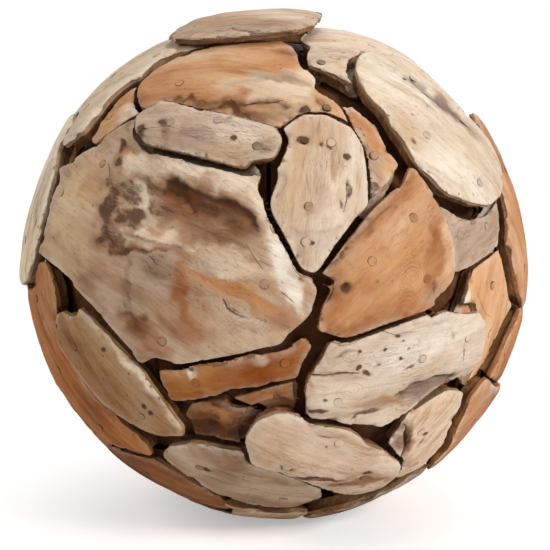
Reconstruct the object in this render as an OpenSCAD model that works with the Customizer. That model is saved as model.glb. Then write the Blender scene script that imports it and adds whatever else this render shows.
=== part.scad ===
// Decorative ball of weathered root-wood slabs, pegged over an inner layer of
// blocks. Modelled about the centre of the ball and stood on its small flat:
// +Z is up, the flat is at z = 0 and the origin is the middle of the flat.
// Every place on the ball is [longitude, latitude] in degrees: longitude 0
// faces -Y and grows towards +X, latitude 90 is the top.

/* [Ball] */
// Diameter over the outermost course of slabs
ball_d = 400; // [300:1:600]
// Diameter of the flat that the ball stands on
rest_flat_d = 60; // [40:1:80]

/* [Slabs] */
// Thickness of a slab
slab_t = 14; // [10:0.5:20]
// Thickness of the cap
cap_t = 8; // [6:0.5:10]
// Thickness of a slab at its rim
rim_t = 6; // [4:0.5:9]
// How far the wall is cut back below the rim
rim_in = 4; // [1:0.5:5]
// Step down from one course of slabs to the next
course_step = 5; // [4:0.5:7]
// Gap between a slab and the neighbours that are scribed to it
scribe_gap = 1.6; // [1:0.1:2.5]
// Smallest step at which a lower slab runs on under its neighbour
lap_step = 3; // [2:0.5:4]

/* [Inner layer] */
// Thickness of the backing blocks
backing_t = 20; // [14:1:30]
// Gap between two backing blocks
backing_gap = 3; // [2:0.5:6]
// Gap between the backing and the lowest course
seat_gap = 0.4; // [0.2:0.1:0.8]

/* [Pegs] */
// Diameter of a wooden peg
peg_d = 7; // [5:0.5:9]
// Wood left in the backing beyond the end of a peg
peg_floor = 6; // [3:1:9]
// How far a peg's end stands above its slab
peg_proud = 0.3; // [0.1:0.1:0.8]
// Clearance all round a peg in its hole
peg_fit = 0.1; // [0.05:0.05:0.2]

/* [Hidden] */
$fn = 144;
ball_r = ball_d / 2;
centre_z = sqrt(ball_r * ball_r - rest_flat_d * rest_flat_d / 4);
corner_cut = 0.12;

// The colours of the wood
CREAM = [0.86, 0.77, 0.64];
BEIGE = [0.76, 0.65, 0.51];
GREY = [0.64, 0.56, 0.47];
TAN = [0.72, 0.52, 0.34];
ORANGE = [0.68, 0.42, 0.22];
BROWN = [0.50, 0.32, 0.19];
DARK = [0.30, 0.19, 0.12];

// One row a slab, from the outermost to the innermost: a slab is scribed to
// every slab listed before it. Each row holds the name, the course, how much
// flatter than the ball its face is, its lean to the east and north in
// degrees, its colour, its outline and its pegs.
SLABS = [
  ["top_cap", -0.6, 1.5, [0, 0], GREY,
    [[-66, 66], [-54, 60.5], [-36, 60], [-18, 61], [0, 63], [14, 65],
     [24, 68], [34, 72], [75, 79], [150, 82], [-125, 78], [-92, 71]],
    [[-54, 64], [24, 72]]],
  ["cross_plank", -0.2, 1.2, [0, -1], GREY,
    [[-36, 34], [-38, 38], [-33, 42], [-20, 40], [-8, 38], [0, 36], [2, 33],
     [0, 28], [-6, 26], [-14, 28], [-24, 30], [-31, 31]],
    [[-26, 36], [-14, 37], [-4, 31]]],
  ["long_right_slab", -0.2, 1.2, [0, 0], CREAM,
    [[26, 50], [31, 55], [42, 58], [55, 56], [62, 50], [63, 41], [69, 30],
     [68, 25], [60, 19], [53, 17], [43, 18], [36, 22], [33, 27], [30, 32],
     [29, 39], [26, 43]],
    [[48, 48], [39, 33], [51, 22]]],
  ["orange_shield", 0, 1.1, [0, 0], ORANGE,
    [[10, 7], [15, 13], [20, 18], [27, 23], [31, 27], [34, 25], [37, 18],
     [39, 10], [39, 5], [37, 0], [33, -2], [24, -4], [14, -7], [8, -5],
     [9, 0], [11, 3], [8, 5]],
    [[29, 16], [19, 8], [31, 4]]],
  ["lower_right_slab", 0, 1.15, [0, 0], CREAM,
    [[7, -24], [6, -17], [8, -11], [11, -7], [17, -5], [23, -5], [33, -2],
     [42, -4], [47, -4], [50, -8], [50, -17], [48, -22], [44, -19],
     [37, -21], [30, -25], [25, -28], [16, -26]],
    [[31, -12], [13, -20], [43, -9]]],
  ["foot_oval", 0, 1.3, [0, 0], CREAM,
    [[-7, -29], [-4, -24], [1, -22], [10, -24], [18, -28], [26, -33],
     [37, -40], [40, -45], [38, -49], [28, -51], [18, -49], [9, -44],
     [1, -40], [-6, -37]],
    [[3, -37], [15, -31], [26, -43]]],
  ["left_rim_slab", 0, 1.3, [0, 0], BEIGE,
    [[-73, 37], [-69, 29], [-62, 23], [-61, 15], [-63, 8], [-68, 0],
     [-80, -3], [-94, 2], [-98, 15], [-92, 28], [-82, 38]],
    [[-72, 26], [-74, 8], [-88, 15]]],
  ["lower_right_wedge", 0.3, 1.2, [0, 0], BEIGE,
    [[30, -34], [30, -27], [34, -22.5], [41, -20.4], [48, -22], [50, -26],
     [51, -31], [56, -40], [54, -46], [46, -49], [40, -47], [35, -42],
     [31, -38]],
    [[38, -31], [46, -43]]],
  ["right_foot_slab", -0.4, 1.3, [0, 0], TAN,
    [[50, -23], [57, -21], [66, -24], [76, -25], [88, -32], [86, -46],
     [66, -50], [54, -42], [52, -34]],
    [[61, -32], [78, -38]]],
  ["shield_slab", 0.3, 1.1, [0, 0], BEIGE,
    [[0, 28], [1, 33], [2, 36], [7, 39], [13, 39], [19, 36], [21, 31],
     [20, 19], [16, 16], [8, 6], [5, 7], [3, 11], [-1, 18], [-2, 24]],
    [[7, 33], [13, 32], [7, 19], [6, 12]]],
  ["upper_front_slab", 0.8, 1.1, [0, 0], ORANGE,
    [[-40, 41], [-45, 44], [-49, 48], [-48, 54], [-40, 60], [-28, 64],
     [-16, 66], [4, 66], [10, 62], [9, 55], [13, 50], [14, 46], [18, 42],
     [19, 36], [10, 35], [0, 33], [-18, 37], [-30, 40]],
    [[-31, 48], [14, 41], [1, 53]]],
  ["left_lower_plank", 0.6, 1.2, [0, 0], GREY,
    [[-54, -6], [-51, -4.4], [-45.5, -4.6], [-44.5, -2.8], [-38, -7],
     [-33, -11], [-28.5, -15.6], [-24.4, -22], [-21.5, -27.5], [-22, -31],
     [-30, -31], [-39.4, -28], [-46, -24], [-52, -16.6], [-55.5, -12]],
    [[-48, -12], [-32, -26]]],
  ["face_slab", 0.9, 1.05, [0, 0], TAN,
    [[-66, 24], [-50, 31], [-44, 36], [-38, 39], [-20, 36], [-8, 33],
     [-3, 27], [-3, 24], [1, 18], [4, 13], [7, 8], [8, 3], [7, -1],
     [4, -6], [1, -8], [-7, -10], [-20, -13], [-29, -14], [-32, -10],
     [-40, -3], [-45, 0], [-52, 4], [-66, 7], [-67, 15]],
    [[-56, 20], [-44, 27], [-2, 4], [-23, -8]]],
  ["upper_right_slab", 0.9, 1.1, [0, 0], CREAM,
    [[20, 71], [35, 76], [60, 75], [88, 62], [80, 54], [66, 49], [50, 50],
     [36, 49], [28, 46], [24, 47], [12, 54], [13, 60], [14, 67]],
    [[24, 57], [17, 55], [55, 63]]],
  ["front_foot_slab", 0.9, 1.2, [0, 0], BEIGE,
    [[-32, -38], [-27, -34], [-20, -32], [-8, -34], [4, -38], [14, -46],
     [18, -54], [14, -57], [7, -61], [-6, -60], [-18, -56], [-26, -47]],
    [[-21, -40], [-8, -43], [3, -54]]],
  ["right_rim_slab", 0.1, 1.1, [0, 0], ORANGE,
    [[64, 24], [68, 33], [79, 39], [92, 34], [100, 20], [100, 4], [92, -7],
     [78, -8], [68, -3], [63, 3], [60, 9], [64, 15]],
    [[74, 24], [72, 2], [90, 8]]],
  ["right_lower_slab", 0, 1.2, [0, 0], BROWN,
    [[72, -7], [64, -11], [59, -19], [57, -23], [68, -27], [89, -29],
     [98, -17], [92, -5]],
    [[70, -17], [84, -16]]],
  ["left_shoulder_slab", 0.1, 1.1, [0, 0], BEIGE,
    [[-66, 30], [-58, 33], [-57, 39], [-57, 44], [-54, 48], [-46, 50],
     [-38, 54], [-32, 62], [-48, 67], [-66, 66], [-86, 60], [-97, 46],
     [-90, 35], [-76, 31]],
    [[-75, 50], [-68, 40], [-54, 57]]],
  ["left_wedge", 1.2, 1.1, [0, 0], BEIGE,
    [[-54, 32], [-50, 32], [-46, 37], [-40, 40], [-38, 46], [-46, 51],
     [-56, 50], [-63, 44], [-64, 38], [-59, 34]],
    [[-53, 39]]],
  ["trim_strip", 1.3, 1.1, [0, 0], ORANGE,
    [[-25.5, -13], [-10, -8], [4, -5], [8, -9], [7, -13.5], [5, -15.5],
     [0, -16.7], [-8, -19.2], [-16, -21.2], [-23.6, -22.2], [-25, -18.6]],
    [[-17, -17], [2, -12]]],
  ["left_strip", 0.9, 1.1, [0, 0], BROWN,
    [[-71, 2], [-60, 5], [-54, -1], [-54, -8], [-51, -14], [-46, -22],
     [-40, -30], [-35, -34], [-36, -39], [-48, -39], [-60, -40], [-77, -30],
     [-85, -14], [-83, -2]],
    [[-66, -4], [-62, -20], [-52, -33]]],
  ["left_foot_slab", 0.7, 1.1, [0, 0], BROWN,
    [[-52, -38], [-44, -37], [-38, -38], [-33, -42], [-27, -48], [-22, -54],
     [-20, -60], [-32, -70], [-62, -69], [-70, -55], [-64, -41]],
    [[-46, -47], [-42, -62]]],
  ["foot_strip", -0.2, 1.1, [0, 0], GREY,
    [[18, -66], [30, -63], [44, -61], [50, -54], [54, -49], [60, -43],
     [67, -44], [76, -56], [58, -74], [24, -75]],
    [[38, -66], [60, -56]]],
  ["base_slab", 0, 1, [0, 0], BROWN,
    [[-26, -55], [-14, -57], [0, -59], [14, -63], [30, -69], [60, -72],
     [100, -70], [140, -68], [180, -71], [225, -68], [270, -69], [305, -64]],
    [[-6, -67], [100, -76], [190, -76], [270, -75]]],
  ["right_grey_slab", 1.3, 1.1, [0, 0], GREY,
    [[33, 24], [38, 19], [44, 17], [50, 16], [57, 18], [62, 25], [68, 22],
     [68, 12], [61, 9], [54, 7], [46, 5], [39, 4], [34, 8], [32, 15]],
    [[43, 12], [54, 13]]],
  ["right_inner_slab", 1.5, 1.1, [0, 0], ORANGE,
    [[47, 4], [50, 9], [57, 12], [63, 10], [67, 3], [71, -4], [71, -12],
     [66, -18], [62, -22], [55, -23], [48, -19], [44, -12], [42, -6],
     [44.5, -1]],
    [[56, 0], [57, -11]]],
  ["dark_chunk", 1.6, 1.1, [0, 0], BROWN,
    [[-23, -28], [-19, -22], [-12, -20], [-3, -24], [-2, -31], [-7, -38],
     [-16, -38], [-21, -33]],
    [[-15, -28]]],
  ["small_chip", 1.6, 1.1, [0, 0], BROWN,
    [[-10, -20], [-4, -18], [4, -14], [6, -18], [6, -26], [0, -28],
     [-5, -26]],
    [[0, -20]]],
  ["tan_wedge", 1.5, 1.1, [0, 0], TAN,
    [[16, 42], [22, 43], [26, 39], [30, 35], [32, 30], [31, 25], [26, 20],
     [20, 15], [15, 22], [15, 36]],
    [[24, 30]]],
  ["right_shoulder_strip", 1.2, 1.1, [0, 0], GREY,
    [[53, 52], [60, 57], [74, 58], [92, 54], [103, 42], [99, 32], [78, 33],
     [62, 35], [57, 44]],
    [[72, 46], [90, 42]]],
  ["rear_crown", 0.6, 1.1, [0, 0], BEIGE,
    [[-88, 63], [-108, 72], [-166, 78], [133, 78], [94, 74], [108, 64],
     [141, 59], [178, 58], [212, 57], [240, 60]],
    [[118, 70], [165, 68], [222, 66]]],
  ["rear_upper_middle", 0.2, 1.2, [0, 0], CREAM,
    [[150, 58], [166, 60], [183, 52], [196, 40], [204, 28], [196, 22],
     [182, 26], [166, 32], [150, 38], [143, 48]],
    [[160, 48], [188, 34]]],
  ["rear_right_middle", 0, 1.2, [0, 0], BEIGE,
    [[100, 36], [118, 34], [132, 38], [141, 28], [138, 12], [126, 2],
     [108, -3], [98, 4], [96, 20]],
    [[108, 22], [128, 14]]],
  ["rear_lower_middle", 0.1, 1.2, [0, 0], GREY,
    [[140, -6], [158, -12], [180, -10], [198, -16], [205, -28], [198, -40],
     [178, -40], [160, -34], [144, -24], [136, -14]],
    [[152, -20], [188, -28]]],
  ["rear_left_middle", 0.3, 1.1, [0, 0], CREAM,
    [[190, 22], [203, 28], [220, 33], [231, 26], [232, 10], [224, -2],
     [206, -8], [192, -4], [187, 8]],
    [[200, 18], [218, 8]]],
  ["rear_foot_left", 0.3, 1.1, [0, 0], GREY,
    [[196, -44], [212, -47], [230, -42], [246, -46], [250, -62],
     [228, -73], [200, -73], [194, -58]],
    [[208, -54], [234, -58]]],
  ["left_rear_lower_slab", 0.4, 1.1, [0, 0], BEIGE,
    [[232, -8], [250, -6], [266, 2], [280, -2], [286, -18], [276, -32],
     [258, -40], [240, -38], [234, -24]],
    [[246, -18], [268, -16]]],
  ["rear_left_shoulder", 0.5, 1.1, [0, 0], GREY,
    [[244, 63], [262, 67], [282, 64], [277, 52], [271, 38], [258, 30],
     [244, 32], [236, 40], [243, 52]],
    [[258, 56], [252, 40]]],
  ["rear_foot_right", 0.5, 1.1, [0, 0], ORANGE,
    [[78, -46], [92, -36], [112, -40], [130, -38], [146, -44], [148, -58],
     [128, -70], [98, -73], [72, -64]],
    [[98, -52], [126, -54]]],
  ["rear_upper_right", 0.9, 1.1, [0, 0], TAN,
    [[88, 63], [104, 66], [125, 62], [140, 58], [147, 47], [138, 38],
     [120, 30], [104, 32], [96, 42], [86, 52]],
    [[106, 52], [128, 46]]],
  ["rear_middle", 0.8, 1.1, [0, 0], ORANGE,
    [[138, 40], [152, 38], [170, 31], [186, 25], [190, 10], [182, -6],
     [164, -10], [146, -6], [136, 6], [139, 22]],
    [[152, 22], [172, 4]]],
  ["rear_upper_left", 1, 1.1, [0, 0], ORANGE,
    [[178, 60], [205, 62], [232, 62], [243, 50], [236, 36], [216, 30],
     [200, 34], [186, 48]],
    [[206, 52], [224, 42]]],
  ["left_rear_slab", 1, 1.1, [0, 0], TAN,
    [[226, 36], [244, 34], [262, 38], [269, 24], [267, 4], [258, -6],
     [240, -8], [228, 0], [230, 18]],
    [[240, 22], [256, 6]]],
  ["rear_lower_right", 0.9, 1.1, [0, 0], BROWN,
    [[94, 6], [110, -2], [128, 3], [142, -4], [146, -20], [136, -36],
     [116, -42], [96, -34], [88, -20]],
    [[104, -14], [124, -26]]],
  ["rear_lower_left", 1.1, 1.1, [0, 0], TAN,
    [[186, -4], [206, -6], [226, -2], [238, -10], [240, -28], [226, -42],
     [206, -44], [196, -30]],
    [[212, -14], [220, -32]]],
  ["rear_foot_middle", 1, 1.1, [0, 0], BEIGE,
    [[136, -36], [160, -34], [182, -40], [196, -44], [198, -58], [188, -74],
     [152, -76], [134, -66], [142, -50]],
    [[158, -48], [172, -62]]],
  ["left_rear_foot", 1, 1.1, [0, 0], BROWN,
    [[244, -38], [262, -40], [280, -34], [296, -38], [306, -48],
     [302, -66], [272, -74], [246, -68], [244, -52]],
    [[262, -52], [286, -54]]]
];

// Long hollows worn into the faces: slab, place, heading north of east,
// radius across the hollow and depth
HOLLOWS = [
  ["face_slab", [-22, 19], -12, 55, 6],
  ["lower_right_slab", [44, -20], 14, 22, 5],
  ["long_right_slab", [56, 41], -50, 8, 3],
  ["orange_shield", [10, 4], 50, 9, 4],
  ["lower_right_wedge", [31, -35], 100, 6, 4],
  ["foot_oval", [10, -32], -30, 60, 3],
  ["shield_slab", [6, 23], 80, 35, 3],
  ["upper_front_slab", [-3, 40], -8, 25, 4],
  ["right_inner_slab", [53, -3], 75, 40, 3],
  ["left_shoulder_slab", [-68, 48], 50, 50, 3],
  ["rear_right_middle", [118, 18], 30, 45, 5],
  ["rear_left_middle", [208, 12], -35, 50, 5],
  ["rear_upper_middle", [174, 41], -30, 30, 4],
  ["left_rear_slab", [248, 16], 70, 60, 5],
  ["rear_lower_middle", [170, -24], -10, 35, 4],
  ["rear_foot_right", [112, -54], 15, 45, 4]
];

// Splits that run in from an edge: slab, start beyond the edge, tip and
// width at the start
SPLITS = [
  ["cross_plank", [-39, 33], [-31, 36], 2.5],
  ["lower_right_slab", [4, -15], [21, -15], 2.2],
  ["lower_right_slab", [34, 0], [31, -6], 6],
  ["orange_shield", [7, 5.5], [15, 3.5], 7],
  ["orange_shield", [7, 1], [12, 3], 4],
  ["shield_slab", [22, 33], [15, 26], 2.2],
  ["left_lower_plank", [-26, -35], [-30, -25], 3],
  ["rear_middle", [163, -12], [160, 2], 4],
  ["rear_upper_left", [238, 62], [222, 51], 3],
  ["left_rear_lower_slab", [288, -15], [266, -18], 4],
  ["rear_crown", [214, 56], [196, 66], 3],
  ["rear_right_middle", [95, 9], [112, 12], 3]
];

// Directions, from the middle of the ball, in which the backing blocks lie
BLOCKS = [
  for (lat = [-90, 90]) [0, lat],
  for (k = [0:4]) [36 + 72 * k + 9 * sin(140 * k), 27 + 4 * cos(100 * k)],
  for (k = [0:4]) [72 * k + 8 * cos(80 * k), -26 + 4 * sin(130 * k)]
];

// ---- places on the ball ----

function toward(place) = [
  sin(place.x) * cos(place.y), -cos(place.x) * cos(place.y), sin(place.y)
];
function east(place) = [cos(place.x), sin(place.x), 0];
function north(place) = [
  -sin(place.x) * sin(place.y), cos(place.x) * sin(place.y), cos(place.y)
];
function place_of(v) = [atan2(v.x, -v.y), asin(v.z / norm(v))];
function sum(list, i = 0) = i == len(list) - 1 ? list[i] : list[i] + sum(list, i + 1);
function angle(a, b) = acos(min(1, toward(a) * toward(b)));

// Turns the model so that its Z axis points at a place on the ball
module facing(place) {
  rotate([90 - place.y, 0, place.x]) children();
}

// ---- slabs ----

function name_of(s) = s[0];
function top_r(s) = ball_r - s[1] * course_step;
function thickness(s) = name_of(s) == "top_cap" ? cap_t : slab_t;
function rim(s) = rim_t * thickness(s) / slab_t;
function lean(s) = s[3];
function outline(s) = s[5];
function pegs_of(s) = s[6];
function axis(s) = place_of(sum([for (p = outline(s)) toward(p)]));
function reach(s) = max([for (p = outline(s)) angle(p, axis(s))]);

// The face is part of a sphere that touches the slab's top point
function face_r(s) = ball_r * s[2];
function face_centre(s) =
  let (x = sin(lean(s).x), y = sin(lean(s).y))
  [0, 0, top_r(s)] - face_r(s) * [x, y, sqrt(1 - x * x - y * y)];

// A direction in the slab's own frame, and how far out it meets the face
function local(s, place) =
  let (a = axis(s), d = toward(place))
  [d * east(a), d * north(a), d * toward(a)];
function face_at(s, place) =
  let (d = local(s, place), c = face_centre(s), along = d * c)
  along + sqrt(along * along - c * c + face_r(s) * face_r(s));
function flat_point(s, place) =
  let (d = local(s, place) * face_at(s, place))
  [d.x, d.y];

// Rounds the corners of an outline
function softened(points, passes) =
  passes == 0 ? points :
  let (n = len(points))
  softened([
    for (i = [0:n - 1], t = [corner_cut, 1 - corner_cut])
      points[i] * (1 - t) + points[(i + 1) % n] * t
  ], passes - 1);

// Moves the edges of an outline outwards
function unit(v) = v / norm(v);
function area(points) = sum([
  for (i = [0:len(points) - 1])
    let (a = points[i], b = points[(i + 1) % len(points)])
    (a.x * b.y - a.y * b.x) / 2
]);
function grown(points, by) =
  let (n = len(points), side = area(points) > 0 ? 1 : -1)
  [for (i = [0:n - 1])
    let (
      a = unit(points[i] - points[(i + n - 1) % n]),
      b = unit(points[(i + 1) % n] - points[i]),
      na = side * [a.y, -a.x],
      nb = side * [b.y, -b.x]
    )
    points[i] + by * (na + nb) / (1 + na * nb)];

// The outline of a slab as a post through the ball's surface
module post(s, by = 0) {
  points = [for (p = outline(s)) flat_point(s, p)];
  translate([0, 0, ball_r / 3])
    linear_extrude(ball_r)
      polygon(by < 0
        ? softened(grown(points, by), 2)
        : grown(softened(points, 2), by));
}

module face_ball(s, depth = 0) {
  translate(face_centre(s))
    rotate([90, 0, 0])
      sphere(face_r(s) - depth);
}

module blank(s) {
  facing(axis(s)) difference() {
    intersection() {
      post(s);
      face_ball(s);
    }
    face_ball(s, thickness(s));
    difference() {
      face_ball(s, rim(s));
      post(s, -rim_in);
    }
  }
}

// The room that an upper slab takes from a lower one
module room(upper, lower) {
  laps = top_r(upper) - top_r(lower) >= lap_step;
  facing(axis(upper)) difference() {
    post(upper, scribe_gap);
    if (laps) face_ball(upper, thickness(upper) + scribe_gap);
  }
}

module hollow(s, h) {
  place = h[1];
  facing(place)
    translate([0, 0, face_at(s, place) - h[4] + h[3]])
      rotate([0, 0, h[2]])
        rotate([0, -90, 0])
          cylinder(h = ball_r, r = h[3], center = true);
}

module split(s, c) {
  from = flat_point(s, c[1]);
  tip = flat_point(s, c[2]);
  along = unit(tip - from);
  side = c[3] / 2 * [along.y, -along.x];
  facing(axis(s))
    linear_extrude(ball_d)
      polygon([from + side, tip, from - side]);
}

module slab(i) {
  s = SLABS[i];
  near = [
    for (j = [0:1:i - 1])
      if (angle(axis(s), axis(SLABS[j])) < reach(s) + reach(SLABS[j])) j
  ];
  color(s[4]) difference() {
    blank(s);
    for (j = near) room(SLABS[j], s);
    for (h = HOLLOWS) if (h[0] == name_of(s)) hollow(s, h);
    for (c = SPLITS) if (c[0] == name_of(s)) split(s, c);
    for (j = concat(near, [i]), p = pegs_of(SLABS[j]))
      if (angle(p, axis(s)) < reach(s)) peg_hole(p);
    if (name_of(s) == "base_slab") below_flat();
  }
}

module below_flat() {
  translate([-ball_r, -ball_r, -ball_r - centre_z])
    cube([ball_d, ball_d, ball_r]);
}

// ---- inner layer ----

backing_r = ball_r - max([for (s = SLABS) s[1]]) * course_step - slab_t - seat_gap;

module backing_block(k) {
  own = toward(BLOCKS[k]);
  color(DARK) difference() {
    rotate([90, 0, 0]) sphere(backing_r);
    rotate([90, 0, 0]) sphere(backing_r - backing_t);
    for (j = [0:len(BLOCKS) - 1])
      if (j != k && angle(BLOCKS[j], BLOCKS[k]) < 100)
        beyond(own, toward(BLOCKS[j]));
    for (s = SLABS, p = pegs_of(s))
      if (angle(p, BLOCKS[k]) < 50) peg_hole(p);
  }
}

// The half of space that is nearer to the other block
module beyond(own, other) {
  facing(place_of(other - own))
    translate([-ball_r, -ball_r, -backing_gap / 2])
      cube([ball_d, ball_d, ball_r]);
}

// ---- pegs ----

peg_foot = backing_r - backing_t + peg_floor;

module peg_hole(place) {
  facing(place)
    translate([0, 0, peg_foot])
      cylinder(h = ball_r - peg_foot + slab_t, d = peg_d + 2 * peg_fit);
}

module pegs() {
  color(TAN) difference() {
    for (s = SLABS, p = pegs_of(s))
      facing(p)
        translate([0, 0, peg_foot])
          cylinder(h = face_at(s, p) + peg_proud - peg_foot, d = peg_d);
    below_flat();
  }
}

// Stands the ball on its flat
module standing() {
  translate([0, 0, centre_z]) children();
}

for (i = [0:len(SLABS) - 1])
  standing() slab(i);
for (k = [0:len(BLOCKS) - 1])
  standing() backing_block(k);
standing() pegs();
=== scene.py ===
import math

import bmesh
import bpy
import numpy as np
from mathutils import Matrix, Vector
from mathutils.bvhtree import BVHTree
from mathutils.kdtree import KDTree


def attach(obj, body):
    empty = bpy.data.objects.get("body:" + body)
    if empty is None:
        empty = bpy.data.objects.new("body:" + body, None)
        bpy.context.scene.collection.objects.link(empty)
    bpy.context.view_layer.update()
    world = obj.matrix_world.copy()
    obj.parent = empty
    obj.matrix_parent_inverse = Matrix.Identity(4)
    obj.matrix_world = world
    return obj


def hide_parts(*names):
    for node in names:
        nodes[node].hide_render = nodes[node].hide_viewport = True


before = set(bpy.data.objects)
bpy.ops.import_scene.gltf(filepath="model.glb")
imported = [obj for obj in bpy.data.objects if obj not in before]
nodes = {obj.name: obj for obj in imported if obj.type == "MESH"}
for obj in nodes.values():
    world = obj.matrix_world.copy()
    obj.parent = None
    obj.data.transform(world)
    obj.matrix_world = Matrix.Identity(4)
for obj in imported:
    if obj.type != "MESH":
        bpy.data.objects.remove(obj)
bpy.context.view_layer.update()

mm = 0.001

# the ball that every slab hugs
ball = {"radius": 200 * mm, "restFlat": 60 * mm}
centreZ = math.sqrt(ball["radius"] ** 2 - (ball["restFlat"] / 2) ** 2)
centre = np.array([0, 0, centreZ])


def direction(lon, lat):
    # lon 0 looks along -Y and grows towards +X
    lo, la = math.radians(lon), math.radians(lat)
    return np.array([math.sin(lo) * math.cos(la), -math.cos(lo) * math.cos(la), math.sin(la)])


def smooth(low, high, value):
    t = np.clip((value - low) / (high - low), 0, 1)
    return t * t * (3 - 2 * t)


gradients = np.array([[x, y, z] for x in (-1, 0, 1) for y in (-1, 0, 1) for z in (-1, 0, 1)
                      if abs(x) + abs(y) + abs(z) == 2], float)


def noise(points, seed=0):
    # gradient noise, about -0.8 to 0.8
    cell = np.floor(points).astype(np.int64)
    part = points - cell
    fade = part ** 3 * (part * (part * 6 - 15) + 10)
    total = np.zeros(len(points))
    for corner in range(8):
        step = np.array([corner & 1, corner >> 1 & 1, corner >> 2 & 1])
        key = (cell + step) @ np.array([73856093, 19349663, 83492791]) + seed * 961748927
        key = (key ^ (key >> 15)) * 668265263 & 0x7FFFFFFF
        key = (key ^ (key >> 13)) * 374761393 & 0x7FFFFFFF
        slope = gradients[(key ^ (key >> 11)) % 12]
        total += np.prod(np.where(step, fade, 1 - fade), axis=1) * np.sum(slope * (part - step), axis=1)
    return total


def layered(points, seed=0, octaves=3):
    return sum(noise(points * 2.03 ** k, seed + k) * 0.5 ** k for k in range(octaves))


def relax(places, edges, rounds, amount=0.5):
    # each vertex drifts towards the middle of its neighbours, which rounds the edges off
    a, b = edges.T
    size = len(places)
    count = np.maximum(np.bincount(edges.ravel(), minlength=size), 1)[:, None]
    for _ in range(rounds):
        total = np.stack([np.bincount(a, places[b, k], size) + np.bincount(b, places[a, k], size)
                          for k in range(3)], axis=1)
        places = places + (total / count - places) * amount
    return places


def linear(red, green, blue):
    # a colour written 0 to 255, as paint charts give it
    c = np.array([red, green, blue]) / 255
    return np.where(c <= 0.04045, c / 12.92, ((c + 0.055) / 1.055) ** 2.4)


def sceneObject(name, data):
    ob = bpy.data.objects.new(name, data)
    bpy.context.scene.collection.objects.link(ob)
    return ob


def baked(ob):
    # the object's modifiers made into a plain mesh
    graph = bpy.context.evaluated_depsgraph_get()
    mesh = bpy.data.meshes.new_from_object(ob.evaluated_get(graph))
    ob.modifiers.clear()
    ob.data = mesh
    return ob


def mergedCopy(node):
    bm = bmesh.new()
    bm.from_mesh(nodes[node].data)
    bmesh.ops.remove_doubles(bm, verts=bm.verts, dist=0.01 * mm)
    return bm


def verticesOf(mesh):
    co = np.empty(len(mesh.vertices) * 3)
    mesh.vertices.foreach_get("co", co)
    return co.reshape(-1, 3)


def normalsOf(mesh):
    normal = np.empty(len(mesh.vertices) * 3)
    mesh.vertices.foreach_get("normal", normal)
    return normal.reshape(-1, 3)


def store(mesh, name, kind, values):
    slotOf = {"FLOAT": "value", "FLOAT_VECTOR": "vector", "FLOAT_COLOR": "color"}[kind]
    layer = mesh.attributes.new(name, kind, "POINT")
    layer.data.foreach_set(slotOf, np.ascontiguousarray(values, dtype=np.float32).ravel())


def findPegs():
    bm = mergedCopy("pegs")
    seen, found = set(), []
    for start in bm.verts:
        if start.index in seen:
            continue
        heap, island = [start], []
        seen.add(start.index)
        while heap:
            v = heap.pop()
            island.append(np.array(v.co) - centre)
            for e in v.link_edges:
                other = e.other_vert(v)
                if other.index not in seen:
                    seen.add(other.index)
                    heap.append(other)
        island = np.array(island)
        length = np.linalg.norm(island, axis=1)
        outer = island[length > length.max() - 1 * mm]
        axis = outer.mean(axis=0)
        axis /= np.linalg.norm(axis)
        found.append((axis, float((island @ axis).max())))
    bm.free()
    return found


pegPlaces = findPegs()
print("pegs found:", len(pegPlaces))


palette = {
    "white": linear(238, 226, 208),
    "cream": linear(228, 207, 180),
    "pale": linear(220, 196, 168),
    "beige": linear(208, 181, 151),
    "sand": linear(200, 168, 134),
    "wheat": linear(224, 192, 152),
    "drift": linear(188, 165, 143),
    "taupe": linear(170, 146, 121),
    "ash": linear(126, 106, 94),
    "mauve": linear(140, 117, 107),
    "tan": linear(194, 153, 111),
    "honey": linear(198, 144, 94),
    "orange": linear(184, 126, 78),
    "rust": linear(154, 95, 52),
    "brown": linear(128, 80, 44),
    "umber": linear(96, 59, 34),
}


def newGroup(name, inputs, outputs, kind="ShaderNodeTree"):
    group = bpy.data.node_groups.new(name, kind)
    for label, socketKind, value in inputs:
        socket = group.interface.new_socket(label, in_out="INPUT", socket_type="NodeSocket" + socketKind)
        if value is not None:
            socket.default_value = value
    for label, socketKind in outputs:
        group.interface.new_socket(label, in_out="OUTPUT", socket_type="NodeSocket" + socketKind)
    return group, group.nodes.new("NodeGroupInput"), group.nodes.new("NodeGroupOutput")


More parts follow.
